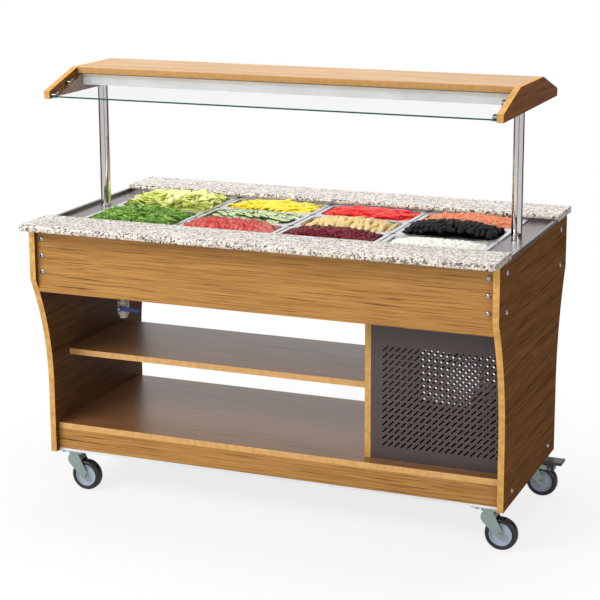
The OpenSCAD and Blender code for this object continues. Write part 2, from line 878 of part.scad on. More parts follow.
module drain_pipe() {
    spout = 34;
    color("#b9b39a") translate([-drain_x, -drain_y, 0]) {
        difference() {
            union() {
                translate([0, 0, valve_z - spout]) cylinder(h = tank_floor_z - tank_t - valve_z + spout, d = drain_d - 2);
                translate([0, 0, valve_z - valve_h / 2]) cylinder(h = valve_h, d = valve_d, $fn = 8);
                translate([0, -valve_d / 2 + 4, valve_z]) rotate([90, 0, 0]) cylinder(h = 8, d = 14);
                translate([0, 0, valve_z]) rotate([90, 0, 0]) cylinder(h = valve_d / 2 + stem_l - 8, d = stem_d);
                translate([0, lever_y + drain_y - 1, valve_z]) rotate([90, 0, 0])
                    cylinder(h = stem_nut_h, d = 10, $fn = 6);
            }
            translate([0, 0, valve_z + 6]) cylinder(h = tank_floor_z - valve_z, d = drain_d - 8);
            translate([0, 0, valve_z - spout - cut]) cylinder(h = spout - 6, d = drain_d - 8);
        }
    }
}

module drain_lever() {
    hub_r = 9;
    tip_r = 6;
    color("#2443a8") translate([-drain_x, lever_y, valve_z]) rotate([-90, 0, 0]) difference() {
        union() {
            cylinder(h = lever_t, r = hub_r);
            block([0, -tip_r, 0], [lever_l - tip_r, tip_r, lever_t]);
            translate([lever_l - tip_r, 0, 0]) cylinder(h = lever_t, r = tip_r);
        }
        translate([0, 0, -cut]) cylinder(h = lever_t + 2 * cut, d = stem_d + 2 * pin_play);
    }
}

/* Canopy */

module canopy_posts() {
    top = board_z - housing_t - post_plate_t;
    color(steel) both_ends() {
        difference() {
            translate([post_x, 0, deck_z]) cylinder(h = top - deck_z + post_plate_t / 2, d = post_d);
            translate([post_x, 0, deck_z - cut]) cylinder(h = top - deck_z + cut, d = post_d - 2 * post_wall);
        }
        block([post_x - post_plate_l, -post_plate_w / 2, top],
            [cheek_x - housing_end_gap, post_plate_w / 2, top + post_plate_t]);
    }
}

module canopy_board() {
    color(wood) block([-cheek_x, -canopy_top_d / 2, board_z], [cheek_x, canopy_top_d / 2, canopy_top_z]);
}

module cheek_outline() {
    polygon([
        [-canopy_d / 2, canopy_z],
        [canopy_d / 2, canopy_z],
        [canopy_d / 2, canopy_z + cheek_edge_h],
        [canopy_top_d / 2, canopy_top_z],
        [-canopy_top_d / 2, canopy_top_z],
        [-canopy_d / 2, canopy_z + cheek_edge_h]
    ]);
}

module canopy_cheeks() {
    color(wood_dark) both_ends() translate([cheek_x, 0, 0]) along_x(board_t) cheek_outline();
}

// Puts a drawing on the front pane's slope: its X runs down the slope from the pane's upper edge
// and its Y stands off the glass's upper face
module on_front_slope() {
    slope_z = canopy_top_z - (glass_top_y - canopy_top_d / 2) * tan(slope_a) - glass_drop / cos(slope_a);
    translate([-glass_top_y, slope_z]) rotate(180 + slope_a) mirror([0, 1]) children();
}

module glass_panes() {
    color([0.75, 0.9, 0.85, 0.35]) both_sides() translate([-glass_x, 0, 0]) along_x(2 * glass_x)
        on_front_slope() translate([0, -glass_t]) square([glass_w, glass_t]);
}

module clamp_section() {
    translate([0, -glass_t / 2]) round_rect(clamp_l, clamp_h, clamp_r);
}

module glass_clamps() {
    color(steel) both_sides() both_ends() for (i = [0, 1])
        difference() {
            translate([cheek_x - clamp_w, 0, 0]) along_x(clamp_w) on_front_slope()
                translate([glass_w - clamp_first - i * clamp_pitch, 0]) clamp_section();
            translate([cheek_x - clamp_w - cut, 0, 0]) along_x(clamp_w + cut - glass_end_gap + clamp_play)
                on_front_slope() translate([-cut, -glass_t - clamp_play])
                    square([glass_w + 2 * cut, glass_t + 2 * clamp_play]);
        }
}

module housing_section() {
    for (s = [0, 1]) mirror([s, 0]) {
        translate([housing_d / 2 - housing_t, housing_z]) square([housing_t, housing_h]);
        translate([housing_d / 2 - housing_lip, housing_z]) square([housing_lip, housing_t]);
    }
    translate([-housing_d / 2, board_z - housing_t]) square([housing_d, housing_t]);
}

module light_housing() {
    color(white_sheet) translate([-housing_x, 0, 0]) along_x(2 * housing_x) housing_section();
}

module lamp() {
    color("#f7f4ea") {
        translate([-lamp_l / 2, 0, lamp_z]) rotate([0, 90, 0]) cylinder(h = lamp_l, d = lamp_d);
        both_ends() block([lamp_l / 2, -lamp_holder / 2, lamp_z - lamp_holder / 2],
            [lamp_l / 2 + lamp_holder / 2, lamp_holder / 2, lamp_z + lamp_holder / 2]);
    }
}

module lamp_diffuser() {
    reach = post_x - post_d / 2 - diffuser_gap;
    color("#fbfbf6") block([-reach, -housing_d / 2 + housing_t + seat_gap, housing_z + housing_t],
        [reach, housing_d / 2 - housing_t - seat_gap, housing_z + housing_t + diffuser_t]);
}

/* Refrigeration bay */

module slot_field() {
    for (i = [0:slot_cols - 1], j = [0:slot_rows - 1])
        translate([slot_first_x + i * slot_pitch_x, slot_first_z + j * slot_pitch_z]) rotate(45) {
            square([slot_l - slot_w, slot_w], center = true);
            for (s = [-1, 1]) translate([s * (slot_l - slot_w) / 2, 0]) circle(d = slot_w, $fn = 16);
        }
}

// A slotted sheet with a folded foot, and a header strip above it behind the apron
module grille() {
    x_from = partition_x + grille_gap;
    x_to = inner_x - grille_gap;
    fold_z = floor_z + grille_h;
    lap = 8;
    difference() {
        union() {
            translate([0, -grille_y + grille_t, 0]) rotate([90, 0, 0]) linear_extrude(grille_t)
                translate([x_from, floor_z]) square([x_to - x_from, grille_h + header_h]);
            block([x_from, -grille_y, floor_z], [x_to, -grille_y + grille_flange, floor_z + grille_t]);
            block([x_from, -grille_y, fold_z], [x_to, -grille_y + lap, fold_z + grille_t]);
            block([x_from, -grille_y, header_top - grille_t], [x_to, -grille_y + grille_flange, header_top]);
        }
        translate([0, -grille_y + grille_t + cut, 0]) rotate([90, 0, 0]) linear_extrude(grille_t + 2 * cut)
            slot_field();
    }
}

module grille_front() {
    color(grille_brown) grille();
}

module grille_rear() {
    color(grille_brown) difference() {
        translate([partition_x + inner_x, 0, 0]) rotate([0, 0, 180]) grille();
        gland_hole();
    }
}

module unit_base() {
    lip = 12;
    color(zinc) translate([unit_x, 0, floor_z]) difference() {
        block([-unit_l / 2, -unit_w / 2, 0], [unit_l / 2, unit_w / 2, lip]);
        block([-unit_l / 2 + unit_t, -unit_w / 2 - cut, unit_t], [unit_l / 2 - unit_t, unit_w / 2 + cut, lip + cut]);
    }
}

// A sealed shell with a welded belt, on three rubber feet, with its terminal box and two stub pipes
module compressor() {
    r = compressor_d / 2;
    dome = 26;
    foot_h = 12;
    belt = 3;
    stub_l = 20;
    box_w = 44;
    box_h = 44;
    box_d = 24;
    box_z = foot_h + 40;
    shell_h = compressor_h - foot_h;
    color("#1d1e20") translate([compressor_x, compressor_y, unit_z]) {
        translate([0, 0, foot_h]) rotate_extrude() intersection() {
            union() {
                translate([0, dome]) square([r, shell_h - 2 * dome]);
                for (z = [dome, shell_h - dome]) {
                    square_w = r - dome;
                    translate([0, z - dome]) square([square_w, 2 * dome]);
                    translate([square_w, z]) circle(dome);
                }
                translate([0, shell_h / 2 - belt]) square([r + belt, 2 * belt]);
            }
            square([2 * r, shell_h]);
        }
        for (a = [30:120:270]) rotate(a) {
            translate([r - 8, 0, 0]) cylinder(h = foot_h + 2, d = 22);
            block([0, -11, foot_h - 2], [r - 8, 11, foot_h + 2]);
        }
        block([-box_w / 2, r - 12, box_z], [box_w / 2, r + box_d, box_z + box_h]);
        for (s = [-1, 1]) translate([s * stub_dx, stub_y - compressor_y, compressor_h - stub_l])
            cylinder(h = stub_top - unit_z - compressor_h + stub_l, d = coil_d);
    }
}

// Tube-and-fin block with two end plates
module condenser_coil() {
    fin_t = 1;
    fin_pitch = 7;
    plate = 2;
    tube_d = 9;
    fins = floor((condenser_l - 2 * plate) / fin_pitch);
    color("#3b3d3f") translate([condenser_x - condenser_l / 2, condenser_y, unit_z]) {
        for (x = [0, condenser_l - plate]) block([x, 0, 0], [x + plate, condenser_w, condenser_h]);
        for (i = [1:fins - 1]) block([i * fin_pitch + plate, 2, 4],
            [i * fin_pitch + plate + fin_t, condenser_w - 2, condenser_h - 4]);
        for (j = [0:tube_rows - 1]) translate([-6, condenser_w / 2, (j + 0.5) * condenser_h / tube_rows])
            rotate([0, 90, 0]) cylinder(h = condenser_l + 12, d = tube_d);
    }
}

// A sheet shroud with a round mouth, and the fan motor on two straps
module fan_shroud() {
    y_from = condenser_y + condenser_w;
    mouth_r = fan_d / 2 + fan_gap;
    ring = 2;
    strap_w = 12;
    back_y = y_from + shroud_l;
    motor_y = fan_y + fan_w / 2 + 6;
    color("#232426") difference() {
        union() {
            block([condenser_x - condenser_l / 2, y_from, unit_z],
                [condenser_x + condenser_l / 2, y_from + shroud_t, unit_z + condenser_h]);
            translate([condenser_x, y_from, fan_z]) rotate([-90, 0, 0]) difference() {
                cylinder(h = shroud_l, r = mouth_r + ring);
                translate([0, 0, -cut]) cylinder(h = shroud_l + 2 * cut, r = mouth_r);
            }
            for (a = [0, 90]) translate([condenser_x, back_y - 1, fan_z]) rotate([0, a, 0])
                cube([2 * mouth_r + ring, 2, strap_w], center = true);
            translate([condenser_x, motor_y, fan_z]) rotate([-90, 0, 0]) cylinder(h = motor_l, d = motor_d);
            translate([condenser_x, fan_y - fan_w / 2, fan_z]) rotate([-90, 0, 0])
                cylinder(h = fan_w + 10, d = shaft_d);
        }
        translate([condenser_x, y_from - cut, fan_z]) rotate([-90, 0, 0])
            cylinder(h = shroud_t + 2 * cut, r = mouth_r);
    }
}

module condenser_fan() {
    hub_d = 34;
    blades = 5;
    blade_t = 1.5;
    pitch_a = 32;
    color("#8c9196") translate([condenser_x, fan_y, fan_z]) rotate([90, 0, 0]) difference() {
        union() {
            cylinder(h = fan_w, d = hub_d, center = true);
            intersection() {
                cylinder(h = fan_w, d = fan_d, center = true);
                for (i = [0:blades - 1]) rotate(i * 360 / blades) translate([hub_d / 2 - 2, 0, 0])
                    rotate([pitch_a, 0, 0]) translate([0, -19, -blade_t / 2]) cube([fan_d, 38, blade_t]);
            }
        }
        cylinder(h = fan_w + 2 * cut, d = shaft_d + 2 * pin_play, center = true);
    }
}

/* Controls, on the operator's side */

control_z = apron_z + apron_h / 2;
switch_w = 22;
switch_h = 30;
switch_gap = 24;
switch_x = control_x + control_w / 2 + switch_gap;
box_play = 0.5;
control_body_w = control_w - 8;
control_body_h = control_h - 7;

module controller_cutouts() {
    block([control_x - control_body_w / 2 - box_play, apron_y - board_t - cut,
        control_z - control_body_h / 2 - box_play],
        [control_x + control_body_w / 2 + box_play, apron_y + cut,
        control_z + control_body_h / 2 + box_play]);
    block([switch_x - switch_w / 2, apron_y - board_t - cut, control_z - switch_h / 2],
        [switch_x + switch_w / 2, apron_y + cut, control_z + switch_h / 2]);
}

// The thermostat with its display and keys, and the frame of the main switch beside it
module controller() {
    bezel = 4;
    body_d = 34;
    window_w = 38;
    window_h = 18;
    key_w = 9;
    wall = 2;
    color("#222326") {
        difference() {
            union() {
                translate([control_x, apron_y + bezel, control_z]) rotate([90, 0, 0]) linear_extrude(bezel)
                    round_rect(control_w, control_h, 4);
                block([control_x - control_body_w / 2, apron_y - body_d, control_z - control_body_h / 2],
                    [control_x + control_body_w / 2, apron_y + bezel / 2, control_z + control_body_h / 2]);
            }
            block([control_x - 4, apron_y + bezel - 1.5, control_z - window_h / 2],
                [control_x - 4 + window_w, apron_y + bezel + cut, control_z + window_h / 2]);
        }
        for (i = [0, 1]) block([control_x - 30 + i * 12, apron_y + bezel, control_z - key_w / 2],
            [control_x - 30 + i * 12 + key_w, apron_y + bezel + 1, control_z + key_w / 2]);
        difference() {
            union() {
                block([switch_x - switch_w / 2 - wall, apron_y, control_z - switch_h / 2 - wall],
                    [switch_x + switch_w / 2 + wall, apron_y + wall, control_z + switch_h / 2 + wall]);
                block([switch_x - switch_w / 2 + box_play, apron_y - 26, control_z - switch_h / 2 + box_play],
                    [switch_x + switch_w / 2 - box_play, apron_y + wall, control_z + switch_h / 2 - box_play]);
            }
            rocker_pocket();
        }
        translate([switch_x - rocker_w / 2 - 1, rocker_y, control_z]) rotate([0, 90, 0])
            cylinder(h = rocker_w + 2, d = rocker_pin_d);
    }
}

rocker_w = 15;
rocker_h = 22;
rocker_y = apron_y - 3;
rocker_pin_d = 3;

module rocker_pocket() {
    pocket_d = 14;
    block([switch_x - rocker_w / 2 - 0.5, apron_y - pocket_d, control_z - rocker_h / 2 - 1.5],
        [switch_x + rocker_w / 2 + 0.5, apron_y + 10, control_z + rocker_h / 2 + 1.5]);
}

// The rocker stands tilted, with its lower end in: the switch is off
module main_switch() {
    reach = 6;
    dish_r = 60;
    dish_d = 2;
    color("#c62828") translate([switch_x - rocker_w / 2, rocker_y, control_z]) rotate([-rocker_tilt, 0, 0])
        along_x(rocker_w) difference() {
            union() {
                translate([0, -rocker_h / 2]) square([reach, rocker_h]);
                translate([-5, -6]) square([6, 12]);
            }
            translate([reach - dish_d + dish_r, 0]) circle(r = dish_r, $fn = 180);
            circle(d = rocker_pin_d + 2 * pin_play);
        }
}

gland_x = partition_x + 34;
gland_z = floor_z + 34;
gland_d = 20;

module gland_hole() {
    translate([gland_x, grille_y - grille_t - cut, gland_z]) rotate([-90, 0, 0])
        cylinder(h = grille_t + 2 * cut, d = gland_d + 2 * hole_play);
}

// A cable gland with its lock nut, clamped to the rear grille
module cable_gland() {
    bore = 8;
    color("#2a2b2d") translate([gland_x, grille_y, gland_z]) rotate([-90, 0, 0]) difference() {
        union() {
            cylinder(h = 6, d = gland_d + 8, $fn = 6);
            translate([0, 0, 6]) cylinder(h = 10, d = gland_d + 2);
            translate([0, 0, 16]) cylinder(h = 8, d1 = gland_d + 2, d2 = gland_d - 6);
            translate([0, 0, -grille_t - 9]) cylinder(h = grille_t + 10, d = gland_d);
            translate([0, 0, -grille_t - 5]) cylinder(h = 5, d = gland_d + 8, $fn = 6);
        }
        translate([0, 0, -grille_t - 9 - cut]) cylinder(h = grille_t + 9 + 24 + 2 * cut, d = bore);
    }
}

/* Casters, each drawn round its own swivel axis */

plate_bolt_d = 8;
plate_bolt_end = 4;
plate_bolt_x = plate_l / 2 - 20;
plate_bolt_y = plate_w / 2 - 10;

module at_caster(end, side) {
    translate([end * caster_x, side * caster_y, 0]) children();
}

module plate_holes(h) {
    for (sx = [-1, 1], sy = [-1, 1]) translate([sx * plate_bolt_x, sy * plate_bolt_y, 0])
        cylinder(h = h, d = plate_bolt_d + 2 * hole_play);
}

// The fixed half of a caster: plate, ball race, kingpin and the four bolts through the channel
module caster_plate() {
    bolt_head_h = 5;
    difference() {
        union() {
            translate([0, 0, caster_h - plate_t]) linear_extrude(plate_t) round_rect(plate_l, plate_w, 8);
            translate([0, 0, caster_h - plate_t - race_h]) cylinder(h = race_h, d = race_d);
        }
        translate([0, 0, caster_h - plate_t - cut]) plate_holes(plate_t + 2 * cut);
    }
    translate([0, 0, fork_z - fork_boss_h - fork_plate_t - fork_gap - kingpin_head_h]) {
        cylinder(h = kingpin_head_h, d = kingpin_head_d);
        cylinder(h = fork_boss_h + fork_plate_t + 2 * fork_gap + kingpin_head_h + 1, d = kingpin_d);
    }
    for (sx = [-1, 1], sy = [-1, 1])
        translate([sx * plate_bolt_x, sy * plate_bolt_y, caster_h - plate_t - bolt_head_h]) {
            cylinder(h = bolt_head_h, d = 14, $fn = 6);
            cylinder(h = bolt_head_h + plate_t + channel_t + plate_bolt_end, d = plate_bolt_d);
        }
}

module caster_plates() {
    color(zinc) for (end = [-1, 1], side = [-1, 1]) at_caster(end, side) caster_plate();
}

module fork_outline(wall) {
    intersection() {
        link([head_dx, head_z], head_r - wall, [caster_trail, axle_z], eye_r - wall);
        translate([-wheel_d, 0]) square([2 * wheel_d, fork_z - fork_boss_h - (wall > 0 ? fork_plate_t : 0)]);
    }
}

// A pressed fork: two legs joined by a web in front and a plate on top, with the axle bolt
module caster_fork(braked) {
    axle_head = 5;
    color(zinc) difference() {
        union() {
            difference() {
                union() {
                    across_y(2 * leg_out) fork_outline(0);
                    if (braked) across_y(2 * leg_out)
                        link([head_dx + 10, head_z + 3], 8, [hinge_dx, hinge_z], ear_r);
                }
                across_y(2 * leg_in) {
                    fork_outline(fork_t);
                    translate([caster_trail, axle_z]) circle(wheel_d / 2 + 4);
                    if (braked) translate([caster_trail - 4, axle_z]) square([wheel_d, wheel_d / 2 + 15]);
                }
            }
            translate([0, 0, fork_z - fork_boss_h - fork_plate_t])
                cylinder(h = fork_boss_h + fork_plate_t, d = race_d - 2);
            translate([caster_trail, 0, axle_z]) rotate([90, 0, 0])
                cylinder(h = 2 * leg_out + 2, d = axle_d, center = true);
            for (s = [0, 1]) mirror([0, s, 0]) translate([caster_trail, -leg_out, axle_z]) rotate([90, 0, 0])
                cylinder(h = axle_head, d = 14, $fn = 6);
            if (braked) translate([hinge_dx, 0, hinge_z]) rotate([90, 0, 0])
                cylinder(h = 2 * pedal_half, d = hinge_d, center = true);
        }
        translate([0, 0, fork_z - fork_boss_h - fork_plate_t - cut])
            cylinder(h = fork_boss_h + fork_plate_t + 2 * cut, d = kingpin_d + 2 * pin_play);
    }
}

module caster_fork_front_left() { at_caster(-1, -1) caster_fork(false); }
module caster_fork_front_right() { at_caster(1, -1) caster_fork(false); }
module caster_fork_rear_left() { at_caster(-1, 1) caster_fork(true); }
module caster_fork_rear_right() { at_caster(1, 1) caster_fork(true); }

// Half section of a wheel: hub, web, rim and a crowned tyre with round shoulders
module wheel_section() {
    hub_r = 12;
    rim_r = 36;
    rim_t = 4;
    web_t = 8;
    shoulder_r = 7;
    hub_w = 2 * (leg_in - pedal_gap);
    r = wheel_d / 2;
    translate([0, -hub_w / 2]) square([hub_r, hub_w]);
    translate([0, -web_t / 2]) square([rim_r, web_t]);
    translate([rim_r - rim_t, -wheel_w / 2 + 2]) square([rim_t + 1, wheel_w - 4]);
    translate([rim_r, -wheel_w / 2]) square([r - rim_r - shoulder_r, wheel_w]);
    translate([rim_r, -wheel_w / 2 + shoulder_r]) square([r - rim_r, wheel_w - 2 * shoulder_r]);
    for (s = [-1, 1]) translate([r - shoulder_r, s * (wheel_w / 2 - shoulder_r)]) circle(shoulder_r);
}

module caster_wheel() {
    color("#2b2c2e") translate([caster_trail, 0, axle_z]) rotate([90, 0, 0]) difference() {
        rotate_extrude($fn = 96) wheel_section();
        cylinder(h = 2 * wheel_w, d = axle_d + 2 * pin_play, center = true);
    }
}

module wheel_front_left() { at_caster(-1, -1) caster_wheel(); }
module wheel_front_right() { at_caster(1, -1) caster_wheel(); }
module wheel_rear_left() { at_caster(-1, 1) caster_wheel(); }
module wheel_rear_right() { at_caster(1, 1) caster_wheel(); }

// A pedal that straddles the fork's ears: pressed down, its shoe meets the tyre
module brake_pedal() {
    tip_r = pedal_t / 2;
    color("#2f2a28") difference() {
        union() {
            across_y(2 * pedal_half) {
                translate([pedal_start, pedal_z]) square([pedal_reach - pedal_start - tip_r, pedal_t]);
                translate([pedal_reach - tip_r, pedal_z + tip_r]) circle(tip_r);
            }
            for (s = [-1, 1]) translate([0, s * (pedal_half - pedal_wall / 2), 0]) across_y(pedal_wall)
                link([hinge_dx, hinge_z], brake_hub_r, [hinge_dx - 4, pedal_z + 4], brake_hub_r - 4);
            across_y(2 * (leg_in - 1))
                link([hinge_dx + shoe_dx, hinge_z + shoe_dz], shoe_r, [hinge_dx + shoe_dx, pedal_z + 4], shoe_r + 0.01);
        }
        translate([hinge_dx, 0, hinge_z]) rotate([90, 0, 0])
            cylinder(h = 3 * pedal_half, d = hinge_d + 2 * pin_play, center = true);
    }
}

module brake_pedal_left() { at_caster(-1, 1) brake_pedal(); }
module brake_pedal_right() { at_caster(1, 1) brake_pedal(); }

at_home() side_panel_left();
at_home() side_panel_right();
at_home() front_panel();
at_home() rear_panel();
at_home() base_deck();
at_home() plinth_boards();
at_home() mid_shelf();
at_home() partition();
at_home() base_channels();
at_home() grille_front();
at_home() grille_rear();
at_home() counter_deck();
at_home() well_tank();
at_home() well_insulation();
at_home() well_casing();
at_home() evaporator_coil();
at_home() pan_rails();
at_home() granite_strips();
at_home() canopy_posts();
at_home() angle_brackets();
at_home() canopy_board();
at_home() canopy_cheeks();
at_home() glass_panes();
at_home() glass_clamps();
at_home() light_housing();
at_home() lamp();
at_home() lamp_diffuser();
at_home() dome_screws();
at_home() compressor();
at_home() condenser_coil();
at_home() fan_shroud();
at_home() unit_base();
at_home() controller();
at_home() drain_pipe();
at_home() cable_gland();
at_home() caster_plates();
at_home() condenser_fan();
at_home() main_switch();
at_home() drain_lever();
at_home() caster_fork_front_left();
at_home() caster_fork_front_right();
at_home() caster_fork_rear_left();
at_home() caster_fork_rear_right();
at_home() wheel_front_left();
at_home() wheel_front_right();
at_home() wheel_rear_left();
at_home() wheel_rear_right();
at_home() brake_pedal_left();
at_home() brake_pedal_right();
at_home() pan_half_front();
at_home() pan_half_rear();
at_home() pan_third_2_front();
at_home() pan_third_2_middle();
at_home() pan_third_2_rear();
at_home() pan_third_3_front();
at_home() pan_third_3_middle();
at_home() pan_third_3_rear();
at_home() pan_third_4_front();
at_home() pan_third_4_middle();
at_home() pan_third_4_rear();
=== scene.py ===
"""Mobile salad bar: finishes for the cabinet, and the wheels, screw heads and food that go with it.

Lengths are in metres, +Z is up, +X runs along the cabinet and the front faces -Y.
"""
import math
import random

import bmesh
import bpy
from mathutils import Matrix, Vector


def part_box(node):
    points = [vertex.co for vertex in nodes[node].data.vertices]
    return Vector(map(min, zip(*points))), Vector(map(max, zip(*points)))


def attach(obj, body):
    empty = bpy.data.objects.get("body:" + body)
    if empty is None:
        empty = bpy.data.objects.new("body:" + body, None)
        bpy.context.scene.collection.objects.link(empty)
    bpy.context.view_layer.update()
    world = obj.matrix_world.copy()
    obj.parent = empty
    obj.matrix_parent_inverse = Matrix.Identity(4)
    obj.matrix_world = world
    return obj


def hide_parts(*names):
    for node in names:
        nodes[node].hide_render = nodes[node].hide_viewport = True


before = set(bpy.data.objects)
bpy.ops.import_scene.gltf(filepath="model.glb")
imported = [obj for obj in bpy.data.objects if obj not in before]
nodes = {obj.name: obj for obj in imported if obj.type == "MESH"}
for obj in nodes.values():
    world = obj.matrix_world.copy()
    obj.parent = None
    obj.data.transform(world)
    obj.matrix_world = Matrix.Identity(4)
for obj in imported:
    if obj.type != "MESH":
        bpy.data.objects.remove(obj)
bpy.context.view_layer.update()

BODY_SHIFT = -0.0215  # from the frame's middle to the cabinet's middle, along X
RIM = 0.8898  # height of the food pans' rims
PAN_DEPTH = 0.149
PAN_FLOOR = RIM - PAN_DEPTH
ROUGH_TURN = 6.28  # a full turn, near enough for random phases


# ---------------------------------------------------------------- small tools


def srgb(red, green, blue):
    """A paint-chart colour, 0 to 255, as the shader wants it."""
    def linear(value):
        value /= 255
        return value / 12.92 if value <= 0.04045 else ((value + 0.055) / 1.055) ** 2.4
    return (linear(red), linear(green), linear(blue), 1.0)


def deselect():
    if bpy.context.object and bpy.context.object.mode != "OBJECT":
        bpy.ops.object.mode_set(mode="OBJECT")
    bpy.ops.object.select_all(action="DESELECT")


def take(piece):
    """Makes one piece the only one selected, and active."""
    deselect()
    piece.select_set(True)
    bpy.context.view_layer.objects.active = piece


def edit_all():
    """Opens the active piece for editing, with all of it selected."""
    bpy.ops.object.mode_set(mode="EDIT")
    bpy.ops.mesh.select_all(action="SELECT")


def end_edit():
    bpy.ops.object.mode_set(mode="OBJECT")


def settle(piece):
    """Puts the piece's place into its mesh, so that its object sits at the origin."""
    take(piece)
    bpy.ops.object.transform_apply(location=True, rotation=True, scale=True)


def finish_modifiers(piece):
    take(piece)
    for modifier in list(piece.modifiers):
        bpy.ops.object.modifier_apply(modifier=modifier.name)


def round_edges(piece, width, segments, angle):
    bevel = piece.modifiers.new("edges", "BEVEL")
    bevel.width = width
    bevel.segments = segments
    bevel.limit_method = "ANGLE"
    bevel.angle_limit = angle
    finish_modifiers(piece)


def smooth(piece, angle):
    """Shades a piece smooth where its faces meet at less than an angle, in degrees."""
    take(piece)
    bpy.ops.object.shade_smooth_by_angle(angle=math.radians(angle))


def name_piece(piece, name, finish):
    piece.name = name
    piece.data.name = name
    piece.data.materials.clear()
    piece.data.materials.append(finish)
    return piece


def turned(name, profile, centre, finish, steps):
    """A lathe job round a line along Y: profile lists (radius, offset along the axle)."""
    deselect()
    mesh = bpy.data.meshes.new(name)
    piece = bpy.data.objects.new(name, mesh)
    bpy.context.collection.objects.link(piece)
    points = [(r, y, 0.0) for r, y in profile]
    mesh.from_pydata(points, [(i, i + 1) for i in range(len(points) - 1)], [])
    take(piece)
    edit_all()
    bpy.ops.mesh.spin(steps=steps, angle=2 * math.pi, center=(0, 0, 0), axis=(0, 1, 0))
    bpy.ops.mesh.select_all(action="SELECT")
    bpy.ops.mesh.remove_doubles(threshold=0.00002)
    bpy.ops.mesh.normals_make_consistent(inside=False)
    end_edit()
    piece.location = centre
    settle(piece)
    smooth(piece, 35)
    return name_piece(piece, name, finish)


def joined(name, finish, placed):
    """One piece out of many copies: placed lists (stock, matrix) pairs."""
    gathered = bmesh.new()
    for stock, matrix in placed:
        before = len(gathered.verts)
        gathered.from_mesh(stock.data)
        gathered.verts.ensure_lookup_table()
        bmesh.ops.transform(gathered, matrix=matrix, verts=gathered.verts[before:])
    mesh = bpy.data.meshes.new(name)
    gathered.to_mesh(mesh)
    gathered.free()
    piece = bpy.data.objects.new(name, mesh)
    bpy.context.collection.objects.link(piece)
    smooth(piece, 50)
    return name_piece(piece, name, finish)


def put_away(stocks):
    for stock in stocks:
        mesh = stock.data
        bpy.data.objects.remove(stock, do_unlink=True)
        bpy.data.meshes.remove(mesh)


# ---------------------------------------------------------------- shader nodes


def feed(tree, value, socket):
    """Gives a socket its value, or joins it to another node's output."""
    if hasattr(value, "is_output"):
        tree.links.new(value, socket)
    else:
        socket.default_value = value


def arithmetic(tree, operation, *values):
    node = tree.nodes.new("ShaderNodeMath")
    node.operation = operation
    for value, socket in zip(values, node.inputs):
        feed(tree, value, socket)
    return node.outputs["Value"]


def mix_shaders(tree, share, first, second):
    blend = tree.nodes.new("ShaderNodeMixShader")
    for value, socket in zip((share, first, second), blend.inputs):
        feed(tree, value, socket)
    return blend.outputs["Shader"]


def even(scale):
    """The same scale along X, Y and Z."""
    return (scale, scale, scale)


class Finish:
    """One finish: a shader and the nodes that feed it."""

    def __init__(self, name, colour, roughness, metallic=0.0):
        self.material = bpy.data.materials.new(name)
        self.material.use_nodes = True
        self.tree = self.material.node_tree
        self.shader = self.tree.nodes["Principled BSDF"]
        self.coordinates = self.tree.nodes.new("ShaderNodeTexCoord")
        self.set("Base Color", colour)
        self.set("Roughness", roughness)
        self.set("Metallic", metallic)

    def set(self, socket, value):
        """Feeds one socket of the shader."""
        feed(self.tree, value, self.shader.inputs[socket])

    def noise(self, stretch, detail, rough=0.55, warp=0.0):
        """Noise over the piece's own coordinates, stretched by a scale along each direction."""
        mapping = self.tree.nodes.new("ShaderNodeMapping")
        mapping.inputs["Scale"].default_value = stretch
        feed(self.tree, self.coordinates.outputs["Object"], mapping.inputs["Vector"])
        noise = self.tree.nodes.new("ShaderNodeTexNoise")
        noise.inputs["Scale"].default_value = 1.0
        noise.inputs["Detail"].default_value = detail
        noise.inputs["Roughness"].default_value = rough
        noise.inputs["Distortion"].default_value = warp
        feed(self.tree, mapping.outputs["Vector"], noise.inputs["Vector"])
        return noise.outputs["Fac"]

    def per_grain(self, scale, channel):
        """A random number for each cell of a pattern of grains."""
        cells = self.tree.nodes.new("ShaderNodeTexVoronoi")
        cells.inputs["Scale"].default_value = scale
        feed(self.tree, self.coordinates.outputs["Object"], cells.inputs["Vector"])
        parts = self.tree.nodes.new("ShaderNodeSeparateColor")
        feed(self.tree, cells.outputs["Color"], parts.inputs["Color"])
        return parts.outputs[channel]

    def ramp(self, value, stops):
        ramp = self.tree.nodes.new("ShaderNodeValToRGB")
        elements = ramp.color_ramp.elements
        while len(elements) < len(stops):
            elements.new(0.5)
        for element, (place, colour) in zip(elements, stops):
            element.position = place
            element.color = colour
        feed(self.tree, value, ramp.inputs["Fac"])
        return ramp.outputs["Color"]

    def band(self, value, low, high, out_low=0.0, out_high=1.0):
        """Stretches the range from low to high over the range from out_low to out_high."""
        band = self.tree.nodes.new("ShaderNodeMapRange")
        band.inputs["From Min"].default_value = low
        band.inputs["From Max"].default_value = high
        band.inputs["To Min"].default_value = out_low
        band.inputs["To Max"].default_value = out_high
        feed(self.tree, value, band.inputs["Value"])
        return band.outputs["Result"]

    def mix(self, amount, first, second):
        """Two colours, blended."""
        colour_a, colour_b, colour_out = 6, 7, 2
        mix = self.tree.nodes.new("ShaderNodeMix")
        mix.data_type = "RGBA"
        feed(self.tree, amount, mix.inputs["Factor"])
        feed(self.tree, first, mix.inputs[colour_a])
        feed(self.tree, second, mix.inputs[colour_b])
        return mix.outputs[colour_out]

    def facing(self, direction):
        """How far a face looks along X, Y or Z, either way."""
        parts = self.tree.nodes.new("ShaderNodeSeparateXYZ")
        feed(self.tree, self.coordinates.outputs["Normal"], parts.inputs["Vector"])
        return arithmetic(self.tree, "ABSOLUTE", parts.outputs[direction])

    def relief(self, value, depth, strength):
        bump = self.tree.nodes.new("ShaderNodeBump")
        bump.inputs["Distance"].default_value = depth
        bump.inputs["Strength"].default_value = strength
        feed(self.tree, value, bump.inputs["Height"])
        self.set("Normal", bump.outputs["Normal"])


